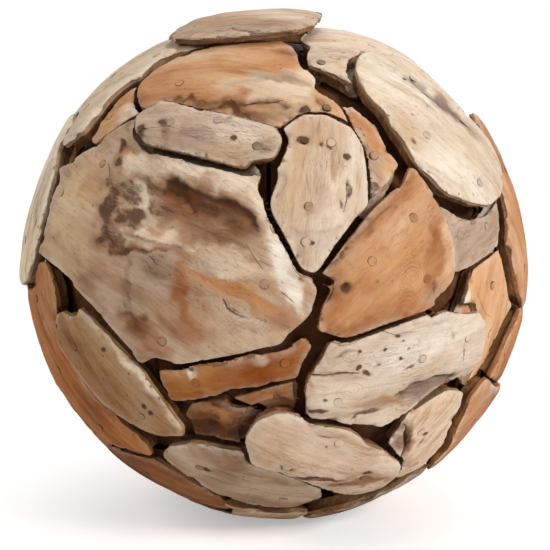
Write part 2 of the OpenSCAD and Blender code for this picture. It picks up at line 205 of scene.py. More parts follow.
class Wiring:
    # short ways to add and join nodes in one tree

    def __init__(self, tree):
        self.tree = tree

    def feed(self, socket, value):
        if isinstance(value, bpy.types.NodeSocket):
            self.tree.links.new(value, socket)
        else:
            socket.default_value = value

    def add(self, kind, feeds=None, **values):
        # a node with its settings, and its inputs joined or set
        node = self.tree.nodes.new(kind)
        for key, value in values.items():
            setattr(node, key, value)
        for socket, value in (feeds or {}).items():
            self.feed(node.inputs[socket], value)
        return node

    def maths(self, how, a, b=0.0, clamp=False):
        return self.add("ShaderNodeMath", {0: a, 1: b}, operation=how, use_clamp=clamp).outputs[0]

    def times(self, a, b, clamp=False):
        return self.maths("MULTIPLY", a, b, clamp)

    def plus(self, a, b):
        return self.maths("ADD", a, b)

    def minus(self, a, b):
        return self.maths("SUBTRACT", a, b)

    def stretch(self, vector, scales):
        return self.add("ShaderNodeVectorMath", {0: vector, 1: scales}, operation="MULTIPLY").outputs[0]

    def length(self, vector):
        return self.add("ShaderNodeVectorMath", {0: vector}, operation="LENGTH").outputs["Value"]

    def cloud(self, vector, scale=1.0, detail=3.0, rough=0.5, distortion=0.0):
        feeds = {"Vector": vector, "Scale": scale, "Detail": detail, "Roughness": rough,
                 "Distortion": distortion}
        return self.add("ShaderNodeTexNoise", feeds).outputs["Fac"]

    def ramp(self, value, low, high, outLow=0.0, outHigh=1.0):
        feeds = {"Value": value, "From Min": low, "From Max": high, "To Min": outLow, "To Max": outHigh}
        return self.add("ShaderNodeMapRange", feeds, interpolation_type="SMOOTHSTEP").outputs["Result"]

    def brighten(self, colour, gamma):
        return self.add("ShaderNodeGamma", {"Color": colour, "Gamma": gamma}).outputs[0]

    def mix(self, amount, a, b, how="MIX"):
        feeds = {0: amount, 6: a, 7: b}
        return self.add("ShaderNodeMix", feeds, data_type="RGBA", blend_type=how).outputs[2]

    def attribute(self, name, output="Fac"):
        return self.add("ShaderNodeAttribute", attribute_name=name).outputs[output]


def emptied(owner):
    # the owner's own node tree, with nothing in it
    owner.use_nodes = True
    owner.node_tree.nodes.clear()
    return Wiring(owner.node_tree)


def grainGroup():
    # streaks, veins, pores and wormholes that run along the wood
    group, ins, outs = newGroup(
        "woodGrain",
        [("Grain", "Vector", None), ("Fineness", "Float", 1.0)],
        [("Streak", "Float"), ("Band", "Float"), ("Mottle", "Float"),
         ("Veins", "Float"), ("Pores", "Float"), ("Holes", "Float")])
    w = Wiring(group)
    feeds = {0: ins.outputs["Grain"], "Scale": ins.outputs["Fineness"]}
    g = w.add("ShaderNodeVectorMath", feeds, operation="SCALE").outputs[0]
    streak = w.cloud(w.stretch(g, (34, 330, 180)), detail=7, rough=0.74, distortion=0.3)
    band = w.cloud(w.stretch(g, (13, 62, 40)), detail=5, rough=0.62, distortion=0.5)
    mottle = w.cloud(w.stretch(g, (52, 84, 70)), detail=6, rough=0.70)
    # thin wavering lines, here and there
    vein = w.maths("ABSOLUTE", w.minus(w.cloud(w.stretch(g, (20, 120, 60)), 4, 0.6, 0.6), 0.5))
    patches = w.cloud(w.stretch(g, (17, 30, 25)), detail=2)
    veins = w.times(w.ramp(vein, 0.016, 0.003), w.ramp(patches, 0.47, 0.60))
    dash = w.cloud(w.stretch(g, (170, 1400, 500)), detail=2, rough=0.5)
    pores = w.times(w.ramp(dash, 0.60, 0.72), w.ramp(patches, 0.40, 0.62))
    bores = w.add("ShaderNodeTexVoronoi", {"Vector": w.stretch(g, (95, 130, 60)), "Scale": 1.0})
    sparse = w.ramp(w.cloud(w.stretch(g, (28, 28, 28)), detail=1), 0.50, 0.60)
    holes = w.times(w.ramp(bores.outputs["Distance"], 0.16, 0.07), sparse)
    for label, value in (("Streak", streak), ("Band", band), ("Mottle", mottle), ("Veins", veins),
                         ("Pores", pores), ("Holes", holes)):
        w.feed(outs.inputs[label], value)
    return group


def finishGroup(grains):
    # the weathered colour: tint broken by grain, stains and worn rims, with painted shade on the walls and
    # in the pits
    group, ins, outs = newGroup(
        "weatheredFinish",
        [("Grain", "Vector", None), ("Tint", "Color", (0.5, 0.35, 0.2, 1)), ("Stain", "Float", 0.0),
         ("Wall", "Float", 0.0), ("Rim", "Float", 0.0), ("Pit", "Float", 0.0), ("Crack", "Float", 0.0),
         ("Fineness", "Float", 1.0), ("Streaks", "Float", 0.5), ("Speckle", "Float", 0.5),
         ("Worn", "Float", 0.5), ("Weather", "Float", 0.4)],
        [("Color", "Color"), ("Roughness", "Float"), ("Height", "Float")])
    w = Wiring(group)
    i = ins.outputs
    grain = w.add("ShaderNodeGroup", node_tree=grains)
    for label in ("Grain", "Fineness"):
        w.feed(grain.inputs[label], i[label])
    streak, band, mottle = (grain.outputs[label] for label in ("Streak", "Band", "Mottle"))

    # lighter and darker wood along the streaks and bands
    deep = w.mix(1.0, i["Tint"], (0.52, 0.38, 0.27, 1), "MULTIPLY")
    light = w.brighten(i["Tint"], 0.74)
    weathered = w.mix(0.5, i["Tint"], (0.38, 0.285, 0.22, 1))
    darker = w.times(w.ramp(streak, 0.50, 0.30), w.times(i["Streaks"], 0.55))
    shade = w.times(w.ramp(band, 0.49, 0.28), i["Streaks"])
    lighter = w.times(w.ramp(band, 0.50, 0.70), w.times(i["Streaks"], 0.9))
    grey = w.times(w.ramp(mottle, 0.47, 0.60), i["Weather"])
    colour = w.mix(grey, i["Tint"], weathered)
    colour = w.mix(darker, colour, deep)
    colour = w.mix(shade, colour, deep)
    colour = w.mix(lighter, colour, light)
    blotch = w.times(w.ramp(mottle, 0.45, 0.27), 0.42)
    colour = w.mix(blotch, colour, deep)
    fleck = w.cloud(w.stretch(i["Grain"], (105, 300, 200)), detail=7, rough=0.80, distortion=0.4)
    colour = w.mix(w.ramp(fleck, 0.47, 0.30, 0.0, 0.55), colour, deep)
    colour = w.mix(w.ramp(fleck, 0.54, 0.72, 0.0, 0.50), colour, light)
    halo = w.times(w.ramp(i["Stain"], 0.0, 0.7), 0.5)
    colour = w.mix(halo, colour, w.mix(1.0, colour, (0.42, 0.30, 0.20, 1), "MULTIPLY"))
    veins = w.times(grain.outputs["Veins"], i["Speckle"])
    colour = w.mix(veins, colour, (0.16, 0.085, 0.045, 1))
    along = w.plus(w.times(streak, 0.5), w.times(band, 0.5))

    # worn rims, and pits painted dark as shade in the hollows
    rim = w.times(w.times(i["Rim"], i["Worn"]), w.ramp(mottle, 0.35, 0.6))
    colour = w.mix(rim, colour, (0.78, 0.66, 0.52, 1))
    pit = w.times(i["Pit"], 0.75, clamp=True)
    colour = w.mix(pit, colour, (0.085, 0.045, 0.024, 1))

    # stains break up into dark mottles and streaks
    broken = w.plus(w.times(mottle, 0.5), w.times(fleck, 0.5))
    stainEdge = w.minus(0.74, w.times(i["Stain"], 0.42))
    stain = w.ramp(w.minus(broken, stainEdge), -0.06, 0.09)
    stain = w.times(stain, w.ramp(i["Stain"], 0.02, 0.3))
    colour = w.mix(w.times(stain, 0.85), colour, (0.070, 0.030, 0.013, 1))

    # pores, wormholes and cracks
    pores = w.times(grain.outputs["Pores"], w.times(i["Speckle"], 0.55))
    holes = w.times(grain.outputs["Holes"], i["Speckle"], clamp=True)
    colour = w.mix(pores, colour, (0.12, 0.065, 0.035, 1))
    colour = w.mix(holes, colour, (0.045, 0.024, 0.014, 1))
    colour = w.mix(w.times(i["Crack"], 0.85), colour, (0.050, 0.028, 0.017, 1))

    # the walls and undersides are painted dark brown as shade, and rough
    wallShadeTone = w.mix(w.ramp(along, 0.42, 0.62), (0.16, 0.066, 0.024, 1), (0.42, 0.21, 0.085, 1))
    wallShadeTone = w.mix(0.25, wallShadeTone, i["Tint"])
    colour = w.mix(i["Wall"], colour, wallShadeTone)

    rough = w.ramp(along, 0.35, 0.65, 0.72, 0.56)
    height = w.plus(w.times(streak, 0.5), w.times(band, 0.9))
    height = w.plus(height, w.times(mottle, 0.6))
    height = w.plus(height, w.times(fleck, 0.5))
    for dip, share in ((veins, 0.5), (pores, 0.4), (holes, 1.0), (i["Crack"], 1.4), (stain, 0.5)):
        height = w.minus(height, w.times(dip, share))
    for label, value in (("Color", colour), ("Roughness", rough), ("Height", height)):
        w.feed(outs.inputs[label], value)
    return group


grainNodes = grainGroup()
finishNodes = finishGroup(grainNodes)


def paintCracks(w, finish):
    # the lines of the cracks, ragged and here and there faint
    crack = w.add("ShaderNodeSeparateXYZ", {0: w.attribute("crack", "Vector")})
    grain = w.attribute("grain", "Vector")
    ragged = w.times(w.cloud(grain, 420, 2), 0.9)
    line = w.ramp(w.minus(w.maths("ABSOLUTE", crack.outputs[0]), ragged), 0.25, -0.10)
    line = w.times(line, w.ramp(w.cloud(grain, 95, 3), 0.36, 0.56, 0.25, 1.0))
    w.feed(finish.inputs["Crack"], w.times(line, crack.outputs[1], clamp=True))


def paintRing(w, finish, coords, ring):
    # a dark line where the peg meets its hole
    spoke = w.length(w.stretch(w.attribute("pegPlace", "Vector"), (1, 1, 0)))
    side = w.ramp(w.cloud(coords, 130, 2), 0.44, 0.56, 0.15, 1.0)
    w.feed(finish.inputs["Crack"], w.times(w.ramp(spoke, *ring), side))


def woodMaterial(name, settings, painted=True):
    material = bpy.data.materials.new(name)
    w = emptied(material)
    finish = w.add("ShaderNodeGroup", node_tree=finishNodes)
    if painted:
        w.feed(finish.inputs["Grain"], w.attribute("grain", "Vector"))
        for label in ("Stain", "Wall", "Rim", "Pit"):
            w.feed(finish.inputs[label], w.attribute(label.lower()))
        paintCracks(w, finish)
    else:
        coords = w.add("ShaderNodeTexCoord").outputs["Object"]
        w.feed(finish.inputs["Grain"], coords)
    if "tint" in settings:
        finish.inputs["Tint"].default_value = (*settings["tint"], 1)
    else:
        w.feed(finish.inputs["Tint"], w.attribute("tint", "Color"))
    if "ring" in settings:
        paintRing(w, finish, coords, settings["ring"])
    for label in ("Fineness", "Streaks", "Speckle", "Worn", "Weather"):
        finish.inputs[label].default_value = settings[label.lower()]
    feeds = {"Strength": settings["bump"], "Distance": bumpDepth, "Height": finish.outputs["Height"]}
    bump = w.add("ShaderNodeBump", feeds)
    surface = w.add("ShaderNodeBsdfPrincipled", {
        "Base Color": finish.outputs["Color"], "Roughness": finish.outputs["Roughness"],
        "Normal": bump.outputs["Normal"], "Specular IOR Level": settings["sheen"]})
    w.add("ShaderNodeOutputMaterial", {0: surface.outputs[0]})
    return material


bumpDepth = 1.3 * mm
finishes = {
    "creamWood": {"fineness": 1.0, "streaks": 0.7, "speckle": 0.55, "worn": 0.8, "weather": 0.35,
                  "bump": 0.8, "sheen": 0.1},
    "beigeWood": {"fineness": 1.0, "streaks": 0.75, "speckle": 0.5, "worn": 0.8, "weather": 0.45,
                  "bump": 0.85, "sheen": 0.1},
    "greyWood": {"fineness": 1.1, "streaks": 0.7, "speckle": 0.6, "worn": 0.5, "weather": 0.6,
                 "bump": 0.85, "sheen": 0.08},
    "tanWood": {"fineness": 0.9, "streaks": 0.65, "speckle": 0.4, "worn": 0.8, "weather": 0.35,
                "bump": 0.8, "sheen": 0.1},
    "orangeWood": {"fineness": 0.8, "streaks": 0.7, "speckle": 0.3, "worn": 0.4, "weather": 0.15,
                   "bump": 0.75, "sheen": 0.12},
    "brownWood": {"fineness": 0.8, "streaks": 0.85, "speckle": 0.5, "worn": 0.25, "weather": 0.2,
                  "bump": 0.9, "sheen": 0.1},
}
woods = {name.replace("W", "_w"): woodMaterial(name, values) for name, values in finishes.items()}
darkWood = woodMaterial("darkWood", {
    "tint": linear(98, 58, 33), "fineness": 0.8, "streaks": 0.8, "speckle": 0.4,
    "worn": 0.0, "weather": 0.2, "bump": 0.7, "sheen": 0.06}, painted=False)
pegWood = woodMaterial("pegWood", {
    "ring": (2.6 * mm, 3.3 * mm), "fineness": 1.6, "streaks": 0.6, "speckle": 0.5,
    "worn": 0.0, "weather": 0.2, "bump": 0.4, "sheen": 0.08}, painted=False)
print("materials ready")


def look(wood, colour, grain, roll, **marks):
    return {"slot": wood + "_wood", "colour": colour, "grain": grain, "roll": roll, **marks}


# look: the kind of wood, its own tone (0 to 255), the turn of its fibres from east in degrees,
# anticlockwise from outside, and how far the face falls towards its rim and over what width, in mm
# blots: lon, lat, half width and half height in degrees, turn, tone, strength
# stains and shade: the same without a tone; most are stains, and some paint holes dark as shade
# ledges: points, width and depth in mm, tone, strength; the face drops on the right-hand side of the line,
# and the tone there is mostly painted shade
# cracks: points, width and depth in mm; knots: lon, lat, radius in mm
# dents and bites: lon, lat, radius and depth in mm, where a bite draws the rim in
slabs = {
    # top_cap: the umber band along the lower edge is painted shade under the cap's rim
    "top_cap": look("grey", (184, 152, 124), 8, (4, 14),
        blots=[(-50, 66, 16, 2, 20, "taupe", 0.7), (-10, 67, 22, 2, 0, "taupe", 0.8),
         (25, 70, 20, 2, 0, "taupe", 0.7), (-20, 74, 20, 2, 0, "beige", 0.3),
         (0, 62.5, 34, 1.2, 0, "umber", 0.5)],
        stains=[(-60, 60, 5, 2, 0, 0.5), (-12, 64.5, 24, 1, 0, 0.5)]),
    "cross_plank": look("grey", (196, 170, 148), -8, (3, 10),
        blots=[(-12, 29, 8, 3, -12, "tan", 0.45), (-5, 33, 6, 4, 0, "pale", 0.5),
         (-30, 38, 8, 3, -8, "beige", 0.4), (-20, 33, 7, 2, -10, "ash", 0.35)],
        stains=[(-27.5, 36, 1.6, 1.6, 0, 0.8), (-27, 34.5, 1.2, 1.8, 0, 0.6),
         (-33.5, 33.5, 1.5, 2, 30, 0.7), (-27.5, 30.5, 1.2, 1.2, 0, 0.7), (-24, 29, 1.4, 1.2, 0, 0.7),
         (-9.5, 32.5, 0.8, 0.8, 0, 0.9), (-12, 37, 1.5, 1.2, 0, 0.4), (-15.5, 28.5, 0.6, 1.6, 0, 0.6),
         (-2, 31, 1.5, 3, 0, 0.5)],
        cracks=[([(-34.5, 33.5), (-33, 34.5), (-31, 34.2)], 1.4, 1.2),
         ([(-31, 34.5), (-27, 34.8), (-23, 34.5)], 0.7, 0.4)],
        bites=[(-3, 27, 9, 6)]),
    # long_right_slab: the mauve blots, the long stain and the ash ledge along the crease are painted shade
    # in the groove
    "long_right_slab": look("cream", (217, 197, 173), -55, (4, 14),
        blots=[(36, 46, 8, 6, -40, "white", 0.4), (44, 26, 9, 6, 0, "white", 0.35),
         (33, 33, 4, 4, 0, "tan", 0.4), (56, 38, 2.4, 9, 35, "mauve", 0.8),
         (51, 42, 3, 9, 40, "mauve", 0.8), (24, 42, 2, 6, 20, "tan", 0.9)],
        stains=[(57, 36, 1, 2.4, 40, 0.85), (43, 47.5, 0.8, 0.6, 0, 0.8), (33.5, 32, 1, 1, 0, 0.7),
         (49, 42.5, 1.2, 7, 42, 0.55)],
        ledges=[([(61, 32), (56, 37), (49, 43), (42, 49)], 10, 3.0, "ash", 0.8)],
        cracks=[([(47, 44), (52, 40), (56, 36.5)], 1.6, 2.0)],
        bites=[(28, 31, 9, 6), (44, 20, 11, 4), (35, 22, 9, 3)]),
    # orange_shield: the three stains in the dents paint the holes black as shade, and the rust ledge is
    # painted shade under the upper-left ridge
    "orange_shield": look("orange", (186, 133, 91), 40, (3, 10),
        blots=[(20, 17, 10, 1.8, 40, "brown", 0.8), (11, 8.5, 6, 1.6, 40, "brown", 0.9),
         (27, 21, 4, 3, 0, "rust", 0.6), (22, 9, 9, 3, 30, "honey", 0.6),
         (33.5, 9, 2.2, 11, -14, "rust", 0.8), (17, -5.5, 13, 2.2, 12, "rust", 0.9),
         (32, 0, 3, 2, 20, "taupe", 0.7), (24, 2, 9, 1.6, 22, "honey", 0.5),
         (16, 6, 8, 1.2, 30, "tan", 0.4), (28, 13, 3, 5, -10, "honey", 0.5)],
        stains=[(9.5, 2.6, 3.8, 2.2, 16, 1.3), (14, 3.4, 1.6, 1.2, 30, 0.8), (6.5, 0.5, 2, 1.2, 40, 1.0),
         (24, 13, 7, 0.7, 38, 0.35), (33, 2, 0.8, 2, 0, 0.5)],
        dents=[(9.5, 2.6, 7, 8), (14, 3, 4.5, 3.5), (6.5, 1, 4, 4)],
        ledges=[([(8, 5), (14, 11), (20, 16), (26, 20)], 7, 1.6, "rust", 0.6)],
        knots=[(27, 4, 6)],
        bites=[(36, 0, 10, 6), (28, 25, 8, 6), (3, -1, 7, 4)]),
    # lower_right_slab: the mauve blot and the ash ledge at the lower right are painted shade in the recess
    "lower_right_slab": look("cream", (211, 189, 167), 8, (4, 12),
        blots=[(12, -18, 6, 4, 0, "cream", 0.5), (35, -8, 10, 4, 5, "white", 0.45),
         (6.5, -17.5, 1.8, 2.6, 0, "tan", 0.9), (35, -19, 8, 2, 10, "mauve", 0.9),
         (22, -7, 6, 1.6, 12, "drift", 0.6), (14, -10, 4, 2, 0, "drift", 0.35),
         (25, -21, 4, 1.5, 0, "tan", 0.6)],
        stains=[(16.5, -12.5, 1, 0.7, 30, 0.9), (18.5, -14, 1.4, 0.7, -20, 0.85),
         (13.5, -9.8, 2.6, 0.6, 10, 0.6), (16.5, -9.4, 0.7, 0.6, 0, 0.9), (22, -9.5, 0.7, 0.5, 0, 0.9),
         (24.5, -7, 0.7, 0.5, 0, 0.8), (21, -12.6, 0.6, 0.4, 0, 0.9), (25.8, -11.2, 0.6, 0.5, 0, 0.9),
         (28.5, -13.5, 1.6, 0.5, 10, 0.6), (9, -22.5, 3, 0.7, 0, 0.7), (20, -23, 4, 0.9, 10, 0.7),
         (42.3, -12.5, 0.35, 3, 0, 0.7), (38, -8, 0.7, 1.2, 0, 0.5), (10, -19.5, 0.6, 0.6, 0, 0.7)],
        ledges=[([(25, -20), (30, -17.8), (36, -16.4), (41, -16.6), (43.5, -18.6)], 12, 4.0, "ash", 1.0)],
        cracks=[([(5, -14), (9, -14), (13, -13.6), (17, -13.8)], 1.6, 1.8),
         ([(20, -5.5), (24, -6.5), (28, -6)], 0.7, 0.6)],
        knots=[(16, -17.5, 7), (15, -10, 4), (28.5, -12.5, 3)],
        bites=[(5, -9, 12, 8), (24, -24, 10, 6), (34, -3, 5, 4), (12, -23, 9, 3)]),
    "foot_oval": look("cream", (215, 187, 160), -25, (4, 14),
        blots=[(12, -32, 9, 4, -20, "cream", 0.6), (-1, -31, 4, 5, 0, "sand", 0.7),
         (-3, -35, 3, 3, 0, "tan", 0.5), (12, -42.5, 8, 1.2, -5, "brown", 0.8),
         (24, -45, 9, 1.6, 5, "brown", 0.9), (13, -28, 5, 0.8, -12, "taupe", 0.6)],
        stains=[(3.2, -37.2, 1.8, 1.2, -20, 0.65), (26, -41, 1.6, 1, 0, 0.75),
         (9, -41.5, 4, 0.8, -5, 0.9), (15, -43, 3, 0.7, 0, 0.8), (11, -28.5, 2.4, 0.5, -12, 0.6)],
        cracks=[([(1.5, -36.3), (3, -37.6), (5, -37.9)], 1.2, 1.0)],
        bites=[(24, -31, 10, 3)]),
    # left_rim_slab: its near-white tone is partly its own pale wood and partly painted light, for the
    # bright light that wraps round the ball's left edge
    "left_rim_slab": look("beige", (246, 226, 198), 84, (3, 10), wander=0,
        blots=[(-66, 20, 4, 12, 0, "pale", 0.7)],
        stains=[(-66, 14, 2, 8, 0, 0.5), (-66, 24, 2, 5, 0, 0.4)]),
    "lower_right_wedge": look("beige", (232, 203, 174), 62, (3, 12),
        blots=[(43, -28, 5, 6, 0, "cream", 0.5), (36, -40, 4, 2, 0, "beige", 0.5),
         (34, -33, 1.8, 6, 25, "brown", 0.85)],
        stains=[(39.5, -31.8, 0.9, 0.8, 0, 0.9), (40, -34.5, 1.2, 2, 10, 0.55),
         (42.5, -34.5, 1.4, 1.4, 0, 0.35)],
        cracks=[([(31, -27.5), (33.5, -32), (36.5, -37), (38, -40.5)], 4.0, 4.0),
         ([(34.5, -30), (35.5, -34)], 1.2, 1.0)],
        bites=[(30, -29, 8, 4), (48, -41, 8, -4)]),
    "right_foot_slab": look("tan", (190, 132, 90), 60, (3, 10), wander=0,
        blots=[(62, -24, 6, 3, 30, "taupe", 0.9), (56, -36, 5, 8, 0, "orange", 0.5)],
        bites=[(55, -21, 10, -7)]),
    # shield_slab: the strong stain in the dent at the top paints a hole dark as shade, and the drift ledge
    # is painted shade below its line
    "shield_slab": look("beige", (207, 179, 153), 82, (3, 12),
        blots=[(13, 22, 2.4, 8, 0, "cream", 0.8), (9, 28, 3, 4, 0, "pale", 0.5),
         (3, 26, 2.5, 8, 0, "tan", 0.45), (5, 20, 3, 6, 0, "sand", 0.4),
         (8, 12, 6, 2.5, 0, "drift", 0.5), (15.5, 18, 2, 6, 10, "beige", 0.5)],
        stains=[(6.6, 32.4, 1.5, 1.3, 0, 1.0), (10.4, 31.8, 0.7, 0.8, 0, 0.9),
         (12.2, 31, 1.3, 0.6, -30, 0.7), (16.2, 28.3, 0.7, 1.3, 0, 0.85), (7, 12, 0.8, 0.5, 0, 0.9),
         (7, 18.3, 1.2, 1.6, -40, 0.45), (1.5, 30, 1, 2.4, -30, 0.7), (15, 22.5, 0.8, 2.5, 15, 0.6),
         (14, 19, 0.6, 2, 15, 0.6)],
        dents=[(6.6, 32.4, 3.2, 2.0)],
        ledges=[([(2.5, 15.5), (5, 14), (10, 14.5), (14.5, 15.5)], 10, 0.9, "drift", 0.45)],
        cracks=[([(15.5, 24), (15, 20.5), (13.8, 17.5)], 1.0, 0.8), ([(7, 26), (7.5, 20)], 0.6, 0.3)],
        bites=[(-1, 24, 10, 7)]),
    # upper_front_slab: the brown blot, the long stains and the rust ledge along the lower edge are painted
    # shade under that edge
    "upper_front_slab": look("orange", (196, 145, 102), -6, (4, 14),
        blots=[(-30, 50, 12, 6, 0, "orange", 0.4), (0, 47, 12, 5, -8, "beige", 1.0),
         (8, 48, 6, 5, -10, "cream", 0.7), (3, 50, 8, 1.6, -20, "taupe", 0.7),
         (-4, 49, 8, 1.2, 14, "ash", 0.4), (-12, 53, 12, 2, 0, "honey", 0.4),
         (8, 59, 5, 3, 0, "brown", 0.7), (3, 41, 7, 2.4, 0, "sand", 0.9),
         (-14, 42, 14, 2, 0, "brown", 0.6)],
        stains=[(7.5, 40.5, 1.4, 1.4, 0, 0.9), (13, 42, 2, 0.8, 0, 0.6), (-24, 42.5, 12, 0.9, 3, 0.6),
         (-10, 40.5, 8, 1.4, -8, 0.75)],
        ledges=[([(-14, 42), (-6, 43.5), (1, 43.5), (5, 41.5)], 9, 2.0, "rust", 0.5)],
        cracks=[([(-9, 42.3), (-4, 43), (2, 42.6)], 0.9, 1.0)],
        bites=[(15, 45, 10, 7), (5, 62, 9, 6), (-34, 60, 9, 4)]),
    "left_lower_plank": look("grey", (160, 116, 75), -48, (2, 8),
        blots=[(-29.5, -16, 1.2, 8, 40, "cream", 0.9), (-23, -26, 1.6, 3, 25, "cream", 0.8),
         (-30, -26, 6, 3, -40, "sand", 0.3)],
        stains=[(-38, -11.3, 0.8, 0.7, 0, 0.9), (-30.5, -23.2, 0.9, 0.8, 0, 1.0),
         (-29, -24.8, 0.8, 0.7, 0, 1.0)],
        bites=[(-48, -4, 8, 3), (-24, -31, 7, 3)]),
    # face_slab: the brown and umber blots and the stains below the upper ridge, the brown blot under the
    # lower ridge and the first two ledges are painted shade in the scoop; the dark mottles further left are
    # the wood's own
    "face_slab": look("tan", (187, 153, 123), -24, (2, 12),
        blots=[(-50, 14, 9, 14, 0, "wheat", 0.75), (-46, 24, 4, 6, 0, "honey", 0.4),
         (-42, 1, 8, 4, -24, "brown", 0.4), (-22, 5, 13, 5, -6, "drift", 0.75),
         (-30, -2, 5, 7, 0, "taupe", 0.4), (-33, 27.5, 6, 2.4, -12, "cream", 1.0),
         (-20, 27, 8, 1.8, -8, "cream", 1.0), (-9, 24, 7, 2.2, -20, "cream", 1.0),
         (-1, 18, 2, 6, 25, "cream", 1.0), (1.5, 10, 3, 7, 10, "white", 0.9),
         (4, 2, 2, 4, 8, "white", 0.8), (-8, 8, 8, 3, -10, "cream", 0.7),
         (-16, 18, 11, 4.6, -18, "brown", 0.62), (-22, 22, 4, 2.6, -30, "umber", 0.6),
         (-12, 13.5, 8, 1.4, -14, "taupe", 0.6), (-31, 20.5, 2.6, 3.6, 20, "cream", 0.8),
         (-25, 12.4, 11, 1.7, -4, "cream", 1.0), (-29, 9.6, 8, 1, 0, "brown", 0.7),
         (-18.5, 2, 2.6, 8, 6, "rust", 0.8), (-17, -6, 6, 5, 0, "rust", 0.6),
         (-11, 3.5, 5, 1.4, -10, "honey", 0.8), (-4, 1, 7, 1.6, -35, "honey", 0.6),
         (2, -3.5, 6, 3, -20, "rust", 0.65), (-28, -6, 6, 2.4, -30, "brown", 0.9),
         (-25, -10, 5, 2.6, 0, "rust", 0.6), (-6, -8, 9, 2.4, 5, "beige", 0.6),
         (-39, 28.5, 3, 3.4, 0, "rust", 0.8), (-5, -1, 3, 2, 0, "drift", 0.7)],
        stains=[(-38, 18, 3.8, 8, 4, 0.74), (-34.5, 22, 4.4, 4, -30, 0.66),
         (-36, 12, 4.4, 3.6, -10, 0.76), (-32, 16, 5, 3, -20, 0.68), (-33, 9.4, 6, 1.4, 0, 0.6),
         (-28, 23.4, 7, 2.2, -20, 0.56), (-23, 23, 5, 2.6, -16, 0.72), (-26, 18.5, 5, 2.4, -30, 0.56),
         (-40, 31, 1.4, 2.4, 20, 0.85), (-38.5, 27.6, 1.4, 1.6, 0, 0.7), (-27, 9.5, 8, 1, 3, 0.5),
         (-15, 19.5, 10, 2.6, -16, 0.52), (-10, 12.5, 7, 1.4, -10, 0.48),
         (-8, -1.2, 2.4, 0.7, -25, 0.5), (-31, 2, 1.2, 8, 6, 0.42), (-28, -4.5, 6, 1.2, -24, 0.5),
         (-24, 6.5, 4, 3, 0, 0.4)],
        ledges=[
         ([(-27, 25.2), (-20, 24), (-14, 21.8), (-8, 20.2), (-4, 17.5), (-2.4, 12.5)],
          42, 5.0, "brown", 0.95),
         ([(-33, 13.2), (-28, 12.4), (-22, 11.4), (-17, 11.2)], 9, 1.0, "brown", 0.6),
         ([(-20, 8.5), (-14, 5.5), (-9, 5), (-4, 2), (2, -1)], 16, 0.5, "orange", 0.7)],
        cracks=[([(-10, 1.4), (-9.3, -0.8), (-7.5, -2), (-5.5, -2.6)], 1.4, 1.4),
         ([(-6, 12), (-4, 9.5), (-2, 7)], 0.8, 0.5), ([(-42, 27), (-40, 24.5)], 0.9, 0.6),
         ([(-26, 8.7), (-24.5, 7.6)], 0.8, 0.5), ([(-44, 1), (-36, -3)], 0.6, 0.4),
         ([(1, 2.5), (3.5, 0.5)], 1.2, 1.0)],
        knots=[(-38.5, 28, 4), (-36, 17.5, 4), (-7, -0.5, 7)],
        dents=[(-20, 17, 26, 3.0), (-10, 14, 16, 1.5)],
        bites=[(5, -7, 10, 5), (-25, -15, 11, 7), (-58, 24, 10, 8), (-3, 23, 7, 3)]),
    "upper_right_slab": look("cream", (216, 194, 171), -20, (3, 12),
        blots=[(18, 60, 8, 3, 0, "drift", 0.5), (26, 52, 3, 3, 0, "tan", 0.7),
         (50, 64, 14, 5, 0, "beige", 0.5)],
        stains=[(16, 54, 0.9, 0.8, 0, 0.9), (42, 56, 2, 1, 20, 0.5)],
        bites=[(14, 50, 10, 7), (20, 47, 9, 5), (11, 62, 8, 6)]),
    "front_foot_slab": look("beige", (174, 144, 117), -28, (3, 12),
        blots=[(-22, -36, 8, 3, -20, "beige", 0.45), (2, -50, 10, 5, -15, "pale", 0.5),
         (-6, -42, 5, 3, 0, "pale", 0.4)],
        stains=[(-18.5, -40.5, 1.6, 1, -30, 0.7)],
        cracks=[([(-20, -39.5), (-18, -41.2)], 1.2, 1.2),
         ([(-16, -40), (-12, -42.5), (-7, -45)], 0.8, 0.6)]),
    # right_rim_slab: the three stains in the dents paint the holes dark as shade
    "right_rim_slab": look("orange", (192, 139, 98), -70, (3, 10), wander=0,
        blots=[(72, 30, 6, 8, 0, "mauve", 0.5), (72, 12, 6, 10, 0, "honey", 0.5)],
        stains=[(60.5, 7, 1.4, 2, 0, 1.0), (62, 3, 1.4, 2.5, 0, 1.0), (61, -1, 1.2, 2, 0, 0.9)],
        dents=[(60.5, 6.5, 4.5, 4), (62, 3, 4.5, 4), (61, -1, 4, 3)]),
    "right_lower_slab": look("brown", (192, 134, 90), 70, (3, 10), wander=0,
        blots=[(66, -20, 5, 8, 0, "rust", 0.6)],
        bites=[(55, -19, 10, -6)]),
    "left_shoulder_slab": look("beige", (222, 200, 174), 50, (3, 10),
        blots=[(-60, 50, 8, 6, 30, "cream", 0.6)],
        stains=[(-47, 53, 1, 1, 0, 0.7)],
        bites=[(-60, 31, 8, 5)]),
    "left_wedge": look("beige", (206, 150, 104), 35, (3, 8),
        blots=[(-46, 41, 3, 3, 0, "cream", 0.8), (-42, 42, 3, 2, 0, "taupe", 0.8),
         (-53, 35, 4, 3, 30, "tan", 0.7)]),
    "trim_strip": look("orange", (152, 88, 38), 10, (2, 6),
        blots=[(-17.5, -14.5, 1.4, 2, 10, "cream", 0.95), (-3.5, -11.8, 1.6, 1.4, 0, "cream", 0.7),
         (-10, -19, 14, 0.7, 5, "honey", 0.4), (2, -13, 3, 3, 0, "rust", 0.5)],
        stains=[(-17, -12.6, 1.2, 1, 0, 1.0), (-6, -10.5, 3, 0.8, 10, 0.8)],
        dents=[(-17.5, -14.5, 3, 2)],
        bites=[(-21, -17, 8, 4), (-9, -20, 9, 4), (-16, -12, 9, -4), (-6, -10, 8, -4)]),
    "left_strip": look("brown", (176, 110, 57), -60, (2, 8), wander=0,
        bites=[(-57, 5, 8, -3)],
